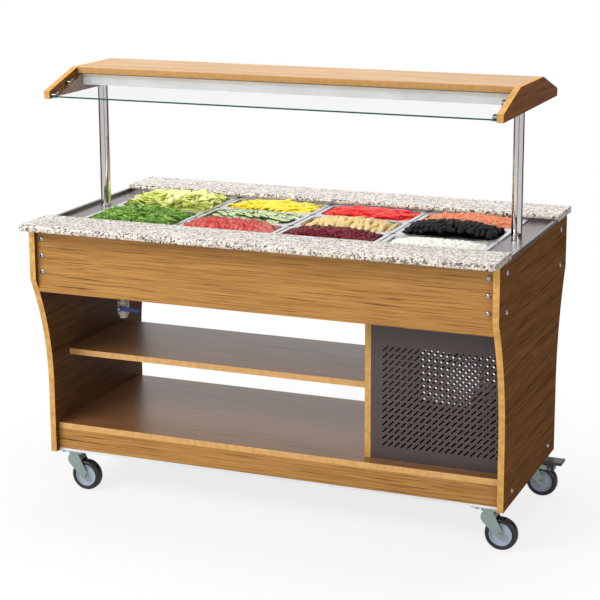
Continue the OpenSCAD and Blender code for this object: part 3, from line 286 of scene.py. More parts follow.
# ---------------------------------------------------------------- finishes


def wood_finish(name, grain, tones, band=None, band_normal="X", coat=0.0, sheen=0.25):
    """Straight-grained laminate.

    grain is X or Y. tones are the pale, middle and dark wood and its pores. band is the colour of
    the cut edges, which are the faces that don't look along band_normal.
    """
    pale, mid, dark, pore = tones
    wood = Finish(name, mid, 0.42)
    wood.set("Specular IOR Level", sheen)
    wood.set("Coat Weight", coat)
    wood.set("Coat Roughness", 0.3)
    along = 0 if grain == "X" else 1

    def stretch(length_scale, cross_scale):
        scale = [cross_scale, cross_scale, cross_scale]
        scale[along] = length_scale
        return tuple(scale)

    broad = wood.noise(stretch(0.8, 20.0), 5.0, 0.7, 0.2)
    tone = wood.ramp(broad, [(0.3, mid), (0.5, pale), (0.7, mid)])
    streaks = wood.noise(stretch(3.0, 210.0), 4.0, 0.75)
    tone = wood.mix(wood.band(streaks, 0.44, 0.60, 0.0, 0.6), tone, dark)
    lines = wood.noise(stretch(4.0, 300.0), 3.0, 0.6)
    tone = wood.mix(wood.band(lines, 0.60, 0.66, 0.0, 0.9), tone, pore)
    wood.set("Roughness", wood.band(streaks, 0.3, 0.7, 0.42, 0.52))
    if band:
        flecks = wood.noise(even(60.0), 3.0)
        strip = wood.mix(wood.band(flecks, 0.35, 0.65, 0.0, 0.35), band, pale)
        is_edge = wood.band(wood.facing(band_normal), 0.5, 0.6, 1.0, 0.0)
        tone = wood.mix(is_edge, tone, strip)
    wood.set("Base Color", tone)
    wood.relief(lines, 0.00008, 0.3)
    return wood.material


def granite_finish():
    """Polished stone with pale feldspar, grey quartz and dark mica grains."""
    stone = Finish("polished_granite", srgb(214, 206, 200), 0.16)
    stone.set("Coat Weight", 0.2)
    stone.set("Coat Roughness", 0.08)
    grains = stone.per_grain(135.0, "Red")
    base = stone.ramp(grains, [
        (0.0, srgb(92, 82, 76)), (0.10, srgb(136, 122, 112)), (0.16, srgb(192, 178, 166)),
        (0.4, srgb(218, 208, 194)), (0.7, srgb(236, 230, 216)), (0.95, srgb(200, 180, 166))])
    dark_spots = stone.band(stone.per_grain(225.0, "Green"), 0.80, 0.81, 0.0, 0.95)
    tone = stone.mix(dark_spots, base, srgb(48, 42, 40))
    clouds = stone.noise(even(26.0), 4.0, 0.7)
    tone = stone.mix(stone.band(clouds, 0.52, 0.72, 0.0, 0.25), tone, srgb(150, 134, 126))
    stone.set("Base Color", tone)
    stone.set("Roughness", stone.band(grains, 0.0, 1.0, 0.12, 0.24))
    return stone.material


def brushed_finish(name, colour, roughness, stretch, depth=0.00002):
    steel = Finish(name, colour, roughness, 1.0)
    lines = steel.noise(stretch, 3.0, 0.6)
    steel.set("Roughness", steel.band(lines, 0.3, 0.7, roughness - 0.07, roughness + 0.1))
    clouds = steel.noise(even(5.0), 2.0)
    dull = tuple(c * 0.86 for c in colour[:3]) + (1.0,)
    steel.set("Base Color", steel.mix(steel.band(clouds, 0.35, 0.7), colour, dull))
    steel.relief(lines, depth, 0.25)
    return steel.material


def polished_finish(name, colour, roughness):
    steel = Finish(name, colour, roughness, 1.0)
    clouds = steel.noise(even(40.0), 3.0)
    steel.set("Roughness", steel.band(clouds, 0.3, 0.75, roughness * 0.6, roughness * 1.6))
    return steel.material


def zinc_finish(name, colour, roughness):
    """Zinc plating: a faint spangle with a greenish and a bluish cast."""
    zinc = Finish(name, colour, roughness, 0.9)
    spangle = zinc.band(zinc.per_grain(160.0, "Red"), 0.0, 1.0, 0.0, 0.8)
    cool = tuple(c * f for c, f in zip(colour[:3], (0.8, 0.9, 0.95))) + (1.0,)
    zinc.set("Base Color", zinc.mix(spangle, colour, cool))
    clouds = zinc.noise(even(90.0), 3.0)
    zinc.set("Roughness", zinc.band(clouds, 0.3, 0.7, roughness - 0.08, roughness + 0.12))
    return zinc.material


def powder_finish(name, colour, roughness, grain=900.0, depth=0.00006):
    """Powder coat, moulded plastic or rubber: a fine peel and faintly worn patches."""
    coat = Finish(name, colour, roughness)
    peel = coat.noise(even(grain), 2.0)
    worn = coat.noise(even(8.0), 3.0)
    shade = tuple(c * 0.88 for c in colour[:3]) + (1.0,)
    coat.set("Base Color", coat.mix(coat.band(worn, 0.35, 0.75), colour, shade))
    coat.relief(peel, depth, 0.4)
    coat.set("Roughness", coat.band(peel, 0.3, 0.7, roughness - 0.04, roughness + 0.06))
    return coat.material


def glass_finish():
    """The clear faces of float glass."""
    pane = Finish("float_glass", (0.98, 1.0, 0.99, 1.0), 0.01)
    pane.set("Transmission Weight", 1.0)
    pane.set("IOR", 1.3)
    return pane.material


def cut_glass_finish():
    """The cut edges of float glass, which look dark green."""
    rim = Finish("cut_glass", srgb(8, 58, 48), 0.12)
    rim.set("Specular IOR Level", 0.25)
    depth = rim.noise((30.0, 400.0, 400.0), 2.0)
    rim.set("Base Color", rim.mix(rim.band(depth, 0.35, 0.65), srgb(6, 52, 42), srgb(18, 80, 66)))
    return rim.material


def food_finish(name, main, other, spot=None, scale=60.0, roughness=0.4, spot_scale=300.0, wet=0.1,
                glow=0.0, coat_roughness=0.18):
    """Fresh food: two tones, finer flecks and a wet sheen."""
    food = Finish(name, main, roughness)
    food.set("Specular IOR Level", 0.2)
    food.set("Coat Weight", wet)
    food.set("Coat Roughness", coat_roughness)
    if glow:
        food.set("Subsurface Weight", glow)
        food.set("Subsurface Radius", (0.004, 0.004, 0.003))
        food.set("Subsurface Scale", 1.0)
    patches = food.noise(even(scale), 3.0, 0.6)
    tone = food.mix(food.band(patches, 0.38, 0.62), main, other)
    flecks = food.noise(even(spot_scale), 2.0)
    if spot:
        tone = food.mix(food.band(flecks, 0.56, 0.66, 0.0, 0.8), tone, spot)
    food.set("Base Color", tone)
    food.relief(flecks, 0.0004, 0.35)
    return food.material


EDGE_BAND = srgb(222, 170, 96)
FRONT_TONES = (srgb(190, 138, 72), srgb(170, 120, 58), srgb(132, 86, 36), srgb(88, 52, 22))
# Side panel and partition tones: the front laminate darkened, a painted shade for faces turned away from the
# key light
SIDE_SHADED_TONES = (srgb(123, 84, 52), srgb(103, 67, 37), srgb(73, 46, 25), srgb(40, 24, 12))
# Left panel tones: darker still, a painted shade for its inner face, lit less inside the cabinet
LEFT_SHADED_TONES = (srgb(102, 69, 38), srgb(85, 54, 27), srgb(60, 37, 18), srgb(32, 18, 9))
SHELF_TONES = (srgb(158, 108, 66), srgb(140, 94, 56), srgb(108, 70, 40), srgb(74, 46, 26))
# Canopy tones: its own wood paled towards white and blue, partly a painted sheen of the light on the board's
# top; the front and ends keep the deeper edge colour
CANOPY_SHEEN_TONES = (srgb(212, 174, 130), srgb(192, 152, 108), srgb(156, 116, 78), srgb(112, 74, 44))
# Cheek tones: the cheek wood darkened, a painted shade on faces turned from the light
CHEEK_SHADED_TONES = (srgb(133, 83, 38), srgb(114, 68, 29), srgb(83, 47, 18), srgb(56, 30, 9))

front_wood = wood_finish("golden_laminate", "X", FRONT_TONES)
side_shaded_wood = wood_finish("side_shaded_laminate", "Y", SIDE_SHADED_TONES, EDGE_BAND, sheen=0.0)
left_shaded_wood = wood_finish("left_shaded_laminate", "Y", LEFT_SHADED_TONES, EDGE_BAND, sheen=0.04)
shelf_wood = wood_finish("shelf_laminate", "X", SHELF_TONES, EDGE_BAND, "Z", coat=0.75)
partition_wood = wood_finish("partition_laminate", "Y", SIDE_SHADED_TONES, EDGE_BAND, sheen=0.12)
canopy_sheen_wood = wood_finish("canopy_sheen_laminate", "X", CANOPY_SHEEN_TONES, srgb(198, 144, 76), "Z")
cheek_shaded_wood = wood_finish("cheek_shaded_laminate", "Y", CHEEK_SHADED_TONES, srgb(216, 164, 90), sheen=0.1)
granite = granite_finish()
deck_steel = brushed_finish("brushed_deck", srgb(128, 122, 120), 0.26, (12.0, 900.0, 900.0))
tank_steel = brushed_finish("tank_steel", srgb(196, 198, 200), 0.36, (700.0, 700.0, 20.0))
pan_steel = brushed_finish("pan_steel", srgb(222, 224, 226), 0.26, even(300.0), depth=0.00001)
mirror_steel = polished_finish("mirror_steel", srgb(224, 220, 218), 0.05)
# Clamp and screw chrome: darker than the posts' chrome, a painted shade standing in for the dark surroundings
# they mirror
clamp_steel = polished_finish("clamp_steel", srgb(158, 154, 150), 0.2)
screw_steel = polished_finish("screw_steel", srgb(158, 160, 164), 0.14)
copper = polished_finish("drawn_copper", srgb(196, 118, 76), 0.28)
zinc_plate = zinc_finish("zinc_plate", srgb(188, 196, 192), 0.3)
dark_zinc = zinc_finish("fork_zinc", srgb(156, 168, 162), 0.24)
fan_metal = zinc_finish("fan_metal", srgb(160, 164, 168), 0.4)
glass = glass_finish()
cut_glass = cut_glass_finish()
white_coat = powder_finish("white_coat", srgb(238, 240, 241), 0.42)
channel_coat = powder_finish("channel_coat", srgb(232, 233, 234), 0.4)
grille_coat = powder_finish("grille_coat", srgb(74, 62, 60), 0.46, 1400.0)
black_coat = powder_finish("black_coat", srgb(34, 35, 38), 0.38)
opal = powder_finish("opal_sheet", srgb(246, 247, 246), 0.5, 300.0, 0.00002)
lamp_opal = powder_finish("lamp_opal", srgb(250, 249, 244), 0.3, 200.0, 0.00001)
foam = powder_finish("moulded_foam", srgb(226, 212, 164), 0.8, 260.0, 0.0004)
black_plastic = powder_finish("black_plastic", srgb(30, 31, 33), 0.42, 1600.0)
pipe_plastic = powder_finish("pipe_plastic", srgb(196, 190, 172), 0.4, 500.0)
switch_red = powder_finish("switch_red", srgb(196, 40, 34), 0.25, 600.0, 0.00001)
lever_blue = powder_finish("lever_blue", srgb(38, 60, 138), 0.35, 500.0)
pedal_plastic = powder_finish("pedal_plastic", srgb(62, 54, 50), 0.34, 700.0)
tyre_rubber = powder_finish("tyre_rubber", srgb(16, 16, 18), 0.42, 500.0)
hub_plastic = powder_finish("hub_plastic", srgb(172, 182, 198), 0.36, 500.0)

NODE_FINISH = {
    "side_panel_left": left_shaded_wood, "side_panel_right": side_shaded_wood,
    "front_panel": front_wood, "rear_panel": front_wood, "plinth_boards": front_wood,
    "base_deck": shelf_wood, "mid_shelf": shelf_wood, "partition": partition_wood,
    "canopy_board": canopy_sheen_wood, "canopy_cheeks": cheek_shaded_wood,
    "base_channels": channel_coat, "light_housing": white_coat,
    "grille_front": grille_coat, "grille_rear": grille_coat,
    "counter_deck": deck_steel, "well_tank": tank_steel, "pan_rails": deck_steel,
    "well_insulation": foam, "well_casing": zinc_plate, "evaporator_coil": copper,
    "granite_strips": granite, "canopy_posts": mirror_steel, "glass_clamps": clamp_steel,
    "dome_screws": screw_steel, "angle_brackets": zinc_plate, "glass_panes": glass,
    "lamp": lamp_opal, "lamp_diffuser": opal, "compressor": black_coat,
    "condenser_coil": black_coat, "fan_shroud": black_coat, "unit_base": zinc_plate,
    "controller": black_plastic, "drain_pipe": pipe_plastic, "cable_gland": black_plastic,
    "caster_plates": dark_zinc, "condenser_fan": fan_metal, "main_switch": switch_red,
    "drain_lever": lever_blue, "brake_pedal_left": pedal_plastic, "brake_pedal_right": pedal_plastic,
}
for node_name, node_object in nodes.items():
    if node_name.startswith("pan_") and node_name != "pan_rails":
        finish = pan_steel
    elif node_name.startswith("caster_fork"):
        finish = dark_zinc
    elif node_name.startswith("wheel_"):
        finish = tyre_rubber
    else:
        finish = NODE_FINISH[node_name]
    node_object.data.materials.clear()
    node_object.data.materials.append(finish)

# The panes lie flatter than 45 degrees, so their cut edges are the faces that stand up
HALF_STEEP = 0.7
panes = nodes["glass_panes"].data
panes.materials.append(cut_glass)
for face in panes.polygons:
    if abs(face.normal.z) < HALF_STEEP:
        face.material_index = 1


# ---------------------------------------------------------------- camera and light


WHITE = (1.0, 1.0, 1.0, 1.0)


def place_camera():
    """The photograph's viewpoint. Its uprights are almost parallel, hence the shift."""
    place = Vector((1.9825 + BODY_SHIFT, -4.9025, 1.9844))
    yaw, pitch, roll = 0.3854, 0.2156, -0.0040
    ahead = Vector((-math.sin(yaw) * math.cos(pitch), math.cos(yaw) * math.cos(pitch), -math.sin(pitch)))
    right = Vector((math.cos(yaw), math.sin(yaw), 0.0))
    up = right.cross(ahead)
    right_rolled = right * math.cos(roll) + up * math.sin(roll)
    up_rolled = up * math.cos(roll) - right * math.sin(roll)
    lens = bpy.data.cameras.new("camera")
    lens.sensor_width = 36.0
    lens.lens = 103.91
    lens.shift_y = -0.10
    lens.clip_end = 60.0
    camera = bpy.data.objects.new("camera", lens)
    bpy.context.collection.objects.link(camera)
    turn = Matrix((right_rolled, up_rolled, -ahead)).transposed().to_4x4()
    camera.matrix_world = Matrix.Translation(place) @ turn
    bpy.context.scene.camera = camera


def softbox(name, place, aim, width, height, power):
    light = bpy.data.lights.new(name, "AREA")
    light.shape = "RECTANGLE"
    light.size = width
    light.size_y = height
    light.energy = power
    box = bpy.data.objects.new(name, light)
    bpy.context.collection.objects.link(box)
    box.location = place
    box.rotation_euler = (Vector(aim) - Vector(place)).to_track_quat("-Z", "Y").to_euler()


def shown_directly(tree):
    """1 for what the camera sees, also through glass, and the node that tells the rays apart."""
    rays = tree.nodes.new("ShaderNodeLightPath")
    seen = arithmetic(tree, "MAXIMUM", rays.outputs["Is Camera Ray"], rays.outputs["Is Transmission Ray"])
    return seen, rays


def background(tree, colour, strength):
    sky = tree.nodes.new("ShaderNodeBackground")
    sky.inputs["Color"].default_value = colour
    sky.inputs["Strength"].default_value = strength
    return sky.outputs["Background"]


def light_studio():
    softbox("key_box", (-2.6, -3.4, 3.2), (0.0, 0.0, 0.6), 2.6, 2.2, 150.0)
    softbox("fill_box", (3.4, -3.0, 2.2), (0.1, 0.0, 0.6), 2.0, 2.0, 32.0)
    softbox("top_box", (0.0, 0.6, 4.2), (0.0, 0.0, 0.9), 3.0, 2.0, 90.0)
    world = bpy.data.worlds.new("studio")
    bpy.context.scene.world = world
    world.use_nodes = True
    tree = world.node_tree
    tree.nodes.clear()
    seen, rays = shown_directly(tree)
    seen_or_mirrored = arithmetic(tree, "MAXIMUM", seen, rays.outputs["Is Glossy Ray"])
    lit = background(tree, (0.96, 0.98, 1.0, 1.0), 0.42)
    shown = background(tree, WHITE, 1.0)
    out = tree.nodes.new("ShaderNodeOutputWorld")
    tree.links.new(mix_shaders(tree, seen_or_mirrored, lit, shown), out.inputs["Surface"])
    bpy.context.scene.view_settings.view_transform = "Standard"


def lay_floor():
    """A pale floor that keeps the shadow, and turns white away from the object."""
    near, far = 0.75, 1.5
    white_near, white_far = 0.8, 1.0
    white_in_mirrors = 0.5
    deselect()
    bpy.ops.mesh.primitive_plane_add(size=40.0, location=(0, 0, 0))
    floor = bpy.context.object
    floor.name = "studio_floor"
    material = bpy.data.materials.new("floor_paper")
    material.use_nodes = True
    tree = material.node_tree
    paper = tree.nodes["Principled BSDF"]
    paper.inputs["Base Color"].default_value = (0.86, 0.86, 0.86, 1.0)
    paper.inputs["Roughness"].default_value = 0.9
    paper.inputs["Specular IOR Level"].default_value = 0.1
    white = tree.nodes.new("ShaderNodeEmission")
    white.inputs["Color"].default_value = WHITE
    seen, rays = shown_directly(tree)
    shown = arithmetic(tree, "MULTIPLY_ADD", rays.outputs["Is Glossy Ray"], white_in_mirrors, seen)
    place = tree.nodes.new("ShaderNodeTexCoord")
    reach = tree.nodes.new("ShaderNodeVectorMath")
    reach.operation = "LENGTH"
    tree.links.new(place.outputs["Object"], reach.inputs[0])
    fade = tree.nodes.new("ShaderNodeMapRange")
    fade.interpolation_type = "SMOOTHSTEP"
    fade.inputs["From Min"].default_value = near
    fade.inputs["From Max"].default_value = far
    fade.inputs["To Min"].default_value = white_near
    fade.inputs["To Max"].default_value = white_far
    tree.links.new(reach.outputs["Value"], fade.inputs["Value"])
    share = arithmetic(tree, "MULTIPLY", shown, fade.outputs["Result"])
    surface = mix_shaders(tree, share, paper.outputs["BSDF"], white.outputs["Emission"])
    tree.links.new(surface, tree.nodes["Material Output"].inputs["Surface"])
    floor.data.materials.append(material)


def dark_card(name, place, width, height, tone, tip=math.pi / 2):
    """A dark card out of sight, which polished steel and wet food mirror. tip 0 lays it flat."""
    deselect()
    bpy.ops.mesh.primitive_plane_add(size=1.0)
    card = bpy.context.object
    card.name = name
    card.scale = (width, height, 1.0)
    card.location = place
    card.rotation_euler = (tip, 0.0, math.atan2(place[0], -place[1]) if tip else 0.0)
    material = bpy.data.materials.new(name)
    material.use_nodes = True
    shader = material.node_tree.nodes["Principled BSDF"]
    shader.inputs["Base Color"].default_value = tone
    shader.inputs["Roughness"].default_value = 0.9
    card.data.materials.append(material)
    card.visible_camera = False
    card.visible_diffuse = False
    card.visible_transmission = False
    card.visible_shadow = False


CARD_BROWN = srgb(52, 36, 36)
CARD_GREY = srgb(150, 148, 148)

place_camera()
light_studio()
lay_floor()
dark_card("card_left", (-3.2, -0.1, 1.1), 2.4, 2.6, CARD_BROWN)
dark_card("card_right", (2.3, 2.1, 1.1), 2.9, 2.6, CARD_BROWN)
dark_card("card_front", (1.5, -2.9, 1.1), 0.62, 2.6, CARD_BROWN)
dark_card("card_above", (0.0, 0.0, 4.6), 9.0, 9.0, CARD_GREY, 0.0)


# ---------------------------------------------------------------- wheels


# Half of each lathe profile, up to the middle of the wheel: radius, offset along the axle
TYRE_HALF = [
    (0.0350, -0.0135), (0.0385, -0.0155), (0.0430, -0.0160), (0.0462, -0.0142), (0.0484, -0.0110),
    (0.0496, -0.0065), (0.0500, 0.0)]
HUB_HALF = [
    (0.0041, -0.0174), (0.0105, -0.0174), (0.0118, -0.0160), (0.0118, -0.0112), (0.0150, -0.0092),
    (0.0270, -0.0070), (0.0300, -0.0082), (0.0322, -0.0122), (0.0351, -0.0132)]


def both_halves(half):
    """A closed profile: one half, its mirror image, and the first point again."""
    return half + [(r, -y) for r, y in reversed(half) if y] + half[:1]


def dress_wheel(node, body):
    """A grey hub with a dished face and a rubber tyre with round shoulders."""
    low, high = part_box(node)
    centre = (low + high) / 2
    tyre = turned(node + "_tyre", both_halves(TYRE_HALF), centre, tyre_rubber, 96)
    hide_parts(node)
    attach(tyre, body)
    hub = turned(node + "_hub", both_halves(HUB_HALF), centre, hub_plastic, 64)
    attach(hub, body)


for corner in ("front_left", "front_right", "rear_left", "rear_right"):
    dress_wheel("wheel_" + corner, "wheel_" + corner)


# ---------------------------------------------------------------- screw heads


def loose_parts(node):
    """The low and high corners of each separate solid of a node, from left to right."""
    scan = bmesh.new()
    scan.from_mesh(nodes[node].data)
    unseen = set(scan.verts)
    parts = []
    while unseen:
        edge = [unseen.pop()]
        low, high = edge[0].co.copy(), edge[0].co.copy()
        while edge:
            corner = edge.pop()
            for axis in range(3):
                low[axis] = min(low[axis], corner.co[axis])
                high[axis] = max(high[axis], corner.co[axis])
            for link in corner.link_edges:
                other = link.other_vert(corner)
                if other in unseen:
                    unseen.remove(other)
                    edge.append(other)
        parts.append((low, high))
    scan.free()
    return sorted(parts, key=lambda corners: tuple(corners[0]))


def round_axis(size):
    """The axis of a round part: along it, the size is the least like the other two."""
    def unlike(axis):
        return min(abs(size[axis] - size[other]) for other in range(3) if other != axis)
    return max(range(3), key=unlike)


def dress_screws():
    """Chromed domes over the screw heads, set on the face that each head stands on."""
    head_r, top_head_r, head_h = 0.0078, 0.0045, 0.0042
    deselect()
    bpy.ops.mesh.primitive_uv_sphere_add(segments=24, ring_count=12, radius=1.0)
    dome = bpy.context.object
    middle = (BODY_SHIFT, 0.0)
    placed = []
    for low, high in loose_parts("dome_screws"):
        centre = (low + high) / 2
        axis = round_axis(high - low)
        upright = axis == 2
        outwards = 1.0 if upright or centre[axis] > middle[axis] else -1.0
        tip = high[axis] if outwards > 0 else low[axis]
        scale = Vector(even(top_head_r if upright else head_r))
        scale[axis] = head_h
        seat = centre.copy()
        seat[axis] = tip - outwards * head_h
        placed.append((dome, Matrix.Translation(seat) @ Matrix.Diagonal(scale).to_4x4()))
    heads = joined("screw_domes", screw_steel, placed)
    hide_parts("dome_screws")
    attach(heads, "cabinet")
    put_away([dome])


dress_screws()


# ---------------------------------------------------------------- cut and whole food


def grid_sheet(width, length, across, along):
    """A flat sheet cut into a grid, centred on the origin."""
    deselect()
    bpy.ops.mesh.primitive_grid_add(x_subdivisions=across, y_subdivisions=along, size=1.0)
    sheet = bpy.context.object
    for vertex in sheet.data.vertices:
        vertex.co.x *= width
        vertex.co.y *= length
    return sheet


def reshape(sheet, move):
    """Moves every corner of a flat sheet by a rule for x and y."""
    for vertex in sheet.data.vertices:
        vertex.co = Vector(move(vertex.co.x, vertex.co.y))
    sheet.data.update()
    return sheet


def thicken(piece, thickness):
    solid = piece.modifiers.new("wall", "SOLIDIFY")
    solid.thickness = thickness
    solid.offset = 0.0
    finish_modifiers(piece)
    return piece


def crumpled_leaf(width, length, lobes, seed, bow=0.14, cup=0.2):
    """A leaf with a bent midrib and wavy edges, lobed or (with no lobes) smooth in outline."""
    phase = random.Random(seed).uniform(0, ROUGH_TURN)
    ripple = (0.08 if lobes else 0.03) * width

    def move(x, y):
        t = y / length + 0.5
        outline = math.sin(math.pi * min(1.0, max(0.0, 0.06 + 0.94 * t))) ** 0.7
        if lobes:
            outline *= 0.62 + 0.38 * abs(math.sin(lobes * math.pi * t + phase))
        side = x / width * 2
        curl = bow * length * (math.sin(math.pi * t) - 0.35 * t)
        wave = ripple * math.sin(14 * t + 3 * side + phase) * abs(side)
        return (x * outline, y, curl + cup * width * side * side + wave)

    return thicken(reshape(grid_sheet(width, length, 4, 9), move), 0.0007)


def wavy_strip(width, length, arch, waves, thickness, seed):
    """A shred that snakes along its length and arches upwards."""
    phase = random.Random(seed).uniform(0, ROUGH_TURN)

    def move(x, y):
        t = y / length
        swing = 0.25 * width * waves * math.sin(ROUGH_TURN * waves * 0.5 * t + phase)
        rise = arch * math.cos(math.pi * t) + 0.12 * arch * math.sin(12.0 * waves * t + phase)
        return (x + swing, y, rise)

    return thicken(reshape(grid_sheet(width, length, 2, 9), move), thickness)


def curved_strip(width, length, thickness, bend):
    """A cut strip of a hollow vegetable: bent along its length and cupped across it."""
    radius = length / bend

    def move(x, y):
        angle = bend * y / length
        cup = -0.9 * x * x / width
        return (x, (radius + cup) * math.sin(angle), (radius + cup) * math.cos(angle) - radius)

    strip = thicken(reshape(grid_sheet(width, length, 3, 8), move), thickness)
    round_edges(strip, thickness * 0.25, 1, 0.8)
    return strip


def round_slice(radius, thickness, dish, rings, sides):
    """A slice with a rounded rim and a slightly uneven face."""
    deselect()
    bpy.ops.mesh.primitive_cylinder_add(vertices=sides, radius=radius, depth=thickness, end_fill_type="NGON")
    piece = bpy.context.object
    bpy.ops.object.mode_set(mode="EDIT")
    bpy.ops.mesh.select_all(action="DESELECT")
    end_edit()
    for face in piece.data.polygons:
        face.select = abs(face.normal.z) > 0.9
    bpy.ops.object.mode_set(mode="EDIT")
    for _ in range(rings):
        bpy.ops.mesh.inset(thickness=radius * 0.24)
    end_edit()
    for vertex in piece.data.vertices:
        reach = math.hypot(vertex.co.x, vertex.co.y) / radius
        side = 1 if vertex.co.z > 0 else -1
        if reach > 0.95:
            vertex.co.z *= 0.72
        else:
            vertex.co.z -= side * dish * thickness * (0.5 + 0.5 * math.cos(9.0 * reach))
    return piece


def rim_hoop(radius, thickness):
    """The skin round a slice, as a thin hoop of its own."""
    deselect()
    bpy.ops.mesh.primitive_torus_add(major_segments=22, minor_segments=6, major_radius=radius,
                                     minor_radius=thickness)
    hoop = bpy.context.object
    for vertex in hoop.data.vertices:
        vertex.co.z *= 1.25
    return hoop


def ellipsoid(radius, stretch, bend, rough, seed):
    """A bean or an olive: a ball stretched along Y, bent sideways and a little uneven."""
    dice = random.Random(seed)
    deselect()
    bpy.ops.mesh.primitive_ico_sphere_add(subdivisions=2, radius=radius)
    piece = bpy.context.object
    for vertex in piece.data.vertices:
        x, y, z = vertex.co
        y *= stretch
        x += bend * y * y / (radius * stretch)
        push = 1 + dice.uniform(-rough, rough)
        vertex.co = Vector((x * push, y * push, z * push))
    return piece


def soft_block(side_x, side_y, side_z, seed):
    """A cut cube with broken, slightly rounded edges."""
    dice = random.Random(seed)
    deselect()
    bpy.ops.mesh.primitive_cube_add(size=1.0)
    piece = bpy.context.object
    edit_all()
    bpy.ops.mesh.subdivide(number_cuts=2)
    end_edit()
    for vertex in piece.data.vertices:
        vertex.co = Vector((vertex.co.x * side_x, vertex.co.y * side_y, vertex.co.z * side_z))
        vertex.co += Vector(dice.uniform(-1, 1) for _ in range(3)) * side_x * 0.035
    round_edges(piece, side_x * 0.09, 2, 0.9)
    return piece


def corn_spear(radius, length, seed):
    """A baby corn cob: a tapered spear with a blunt butt and rows of kernels."""
    tenths = (5, 1, 2, 3, 4, 6, 7, 8, 9)
    dice = random.Random(seed)
    deselect()
    bpy.ops.mesh.primitive_cylinder_add(vertices=12, radius=radius, depth=length, end_fill_type="NGON")
    spear = bpy.context.object
    bpy.ops.object.mode_set(mode="EDIT")
    for cut in tenths:
        bpy.ops.mesh.select_all(action="SELECT")
        bpy.ops.mesh.bisect(plane_co=(0, 0, length * (cut / 10 - 0.5)), plane_no=(0, 0, 1))
    end_edit()
    for vertex in spear.data.vertices:
        x, y, z = vertex.co
        t = min(1.0, max(0.0, z / length + 0.5))
        girth = (1 - 0.72 * t ** 2.2) * (0.86 + 0.14 * math.sin(math.pi * min(1.0, t * 6)))
        girth *= 1 + 0.06 * math.sin(4 * math.atan2(y, x)) + dice.uniform(-0.03, 0.03)
        vertex.co = Vector((x * girth, z, y * girth + 0.05 * length * math.sin(math.pi * t)))
    return spear


# ---------------------------------------------------------------- filling the pans


class Pan:
    """The inside of one food pan, from the node's own box."""

    def __init__(self, node):
        wall = 0.0135
        low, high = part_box(node)
        self.node = node
        self.x = (low.x + high.x) / 2
        self.y = (low.y + high.y) / 2
        self.half_x = (high.x - low.x) / 2 - wall
        self.half_y = (high.y - low.y) / 2 - wall

    def surface(self, u, v, edge_drop, rise):
        """Height of the heap for u and v from -1 to 1: edge_drop under the rim to rise over it."""
        return RIM - edge_drop + (rise + edge_drop) * (1 - abs(u) ** 3) * (1 - abs(v) ** 3)


def tumble(turns, scale):
    """A matrix that scales, and then turns by (angle, axis) pairs, the last pair first."""
    matrix = Matrix.Identity(4)
    for angle, axis in turns:
        matrix = matrix @ Matrix.Rotation(angle, 4, axis)
    return matrix @ Matrix.Scale(scale, 4)


def bed(pan, name, finish, edge_drop, rise, lumps, seed):
    """The body of the food: a closed heap that fills the pan to its walls."""
    corner_r, wall_gap, floor_gap, draft = 0.03, 0.001, 0.0015, 0.008
    dice = random.Random(seed)
    deselect()
    bpy.ops.mesh.primitive_cube_add(size=2.0)
    piece = bpy.context.object
    edit_all()
    bpy.ops.mesh.subdivide(number_cuts=17)
    end_edit()
    phases = [dice.uniform(0, ROUGH_TURN) for _ in range(4)]
    bottom = PAN_FLOOR + floor_gap
    for vertex in piece.data.vertices:
        u, v, w = vertex.co
        t = (w + 1) / 2
        taper = draft * (1 - t)
        half_x = pan.half_x - wall_gap - taper
        half_y = pan.half_y - wall_gap - taper
        x, y = u * half_x, v * half_y
        over_x = max(0.0, abs(x) - (half_x - corner_r))
        over_y = max(0.0, abs(y) - (half_y - corner_r))
        reach = math.hypot(over_x, over_y)
        if over_x > 0 and over_y > 0 and reach > corner_r:
            x -= math.copysign(over_x * (1 - corner_r / reach), x)
            y -= math.copysign(over_y * (1 - corner_r / reach), y)
        waves = (math.sin(9 * u + phases[0]) * math.sin(5 * v + phases[1])
                 + math.sin(21 * u + phases[2]) * math.sin(13 * v + phases[3]))
        ripple = lumps * waves * (1 - abs(u) ** 4) * (1 - abs(v) ** 4)
        top = pan.surface(u, v, edge_drop, rise)
        vertex.co = Vector((pan.x + x, pan.y + y, bottom + (top + ripple - bottom) * t))
    smooth(piece, 80)
    name_piece(piece, name, finish)
    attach(piece, pan.node)
    return piece


def gather(pan, name, finish, placed):
    """Many copies of food, as one piece that moves with its pan."""
    piece = joined(name, finish, placed)
    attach(piece, pan.node)
    return piece


def heap(pan, name, finish, stocks, count, edge_drop, rise, tilt, seed, sink, along=None):
    """Many copies strewn over the bed. along is a heading that they keep to, in radians."""
    margin = 0.006
    dice = random.Random(seed)
    rows = max(2, round(math.sqrt(count * pan.half_y / pan.half_x)))
    per_row = max(2, round(count / rows))
    placed = []
    for row in range(rows):
        for place in range(per_row):
            stock = stocks[dice.randrange(len(stocks))]
            size = max(stock.dimensions) / 2
            u = ((place + dice.uniform(0.1, 0.9)) / per_row) * 2 - 1
            v = ((row + dice.uniform(0.1, 0.9)) / rows) * 2 - 1
            x = u * max(0.01, pan.half_x - margin - size * 0.6)
            y = v * max(0.01, pan.half_y - margin - size * 0.6)
            top = pan.surface(x / pan.half_x, y / pan.half_y, edge_drop, rise)
            z = top + min(stock.dimensions) * (0.5 - sink) + dice.uniform(-0.001, 0.004)
            heading = dice.uniform(0, 2 * math.pi) if along is None else along + dice.gauss(0, 0.16)
            turns = ((heading, "Z"), (dice.gauss(0, tilt), "X"), (dice.gauss(0, tilt), "Y"))
            turn = tumble(turns, dice.uniform(0.85, 1.12))
            placed.append((stock, Matrix.Translation((pan.x + x, pan.y + y, z)) @ turn))
    return gather(pan, name, finish, placed)


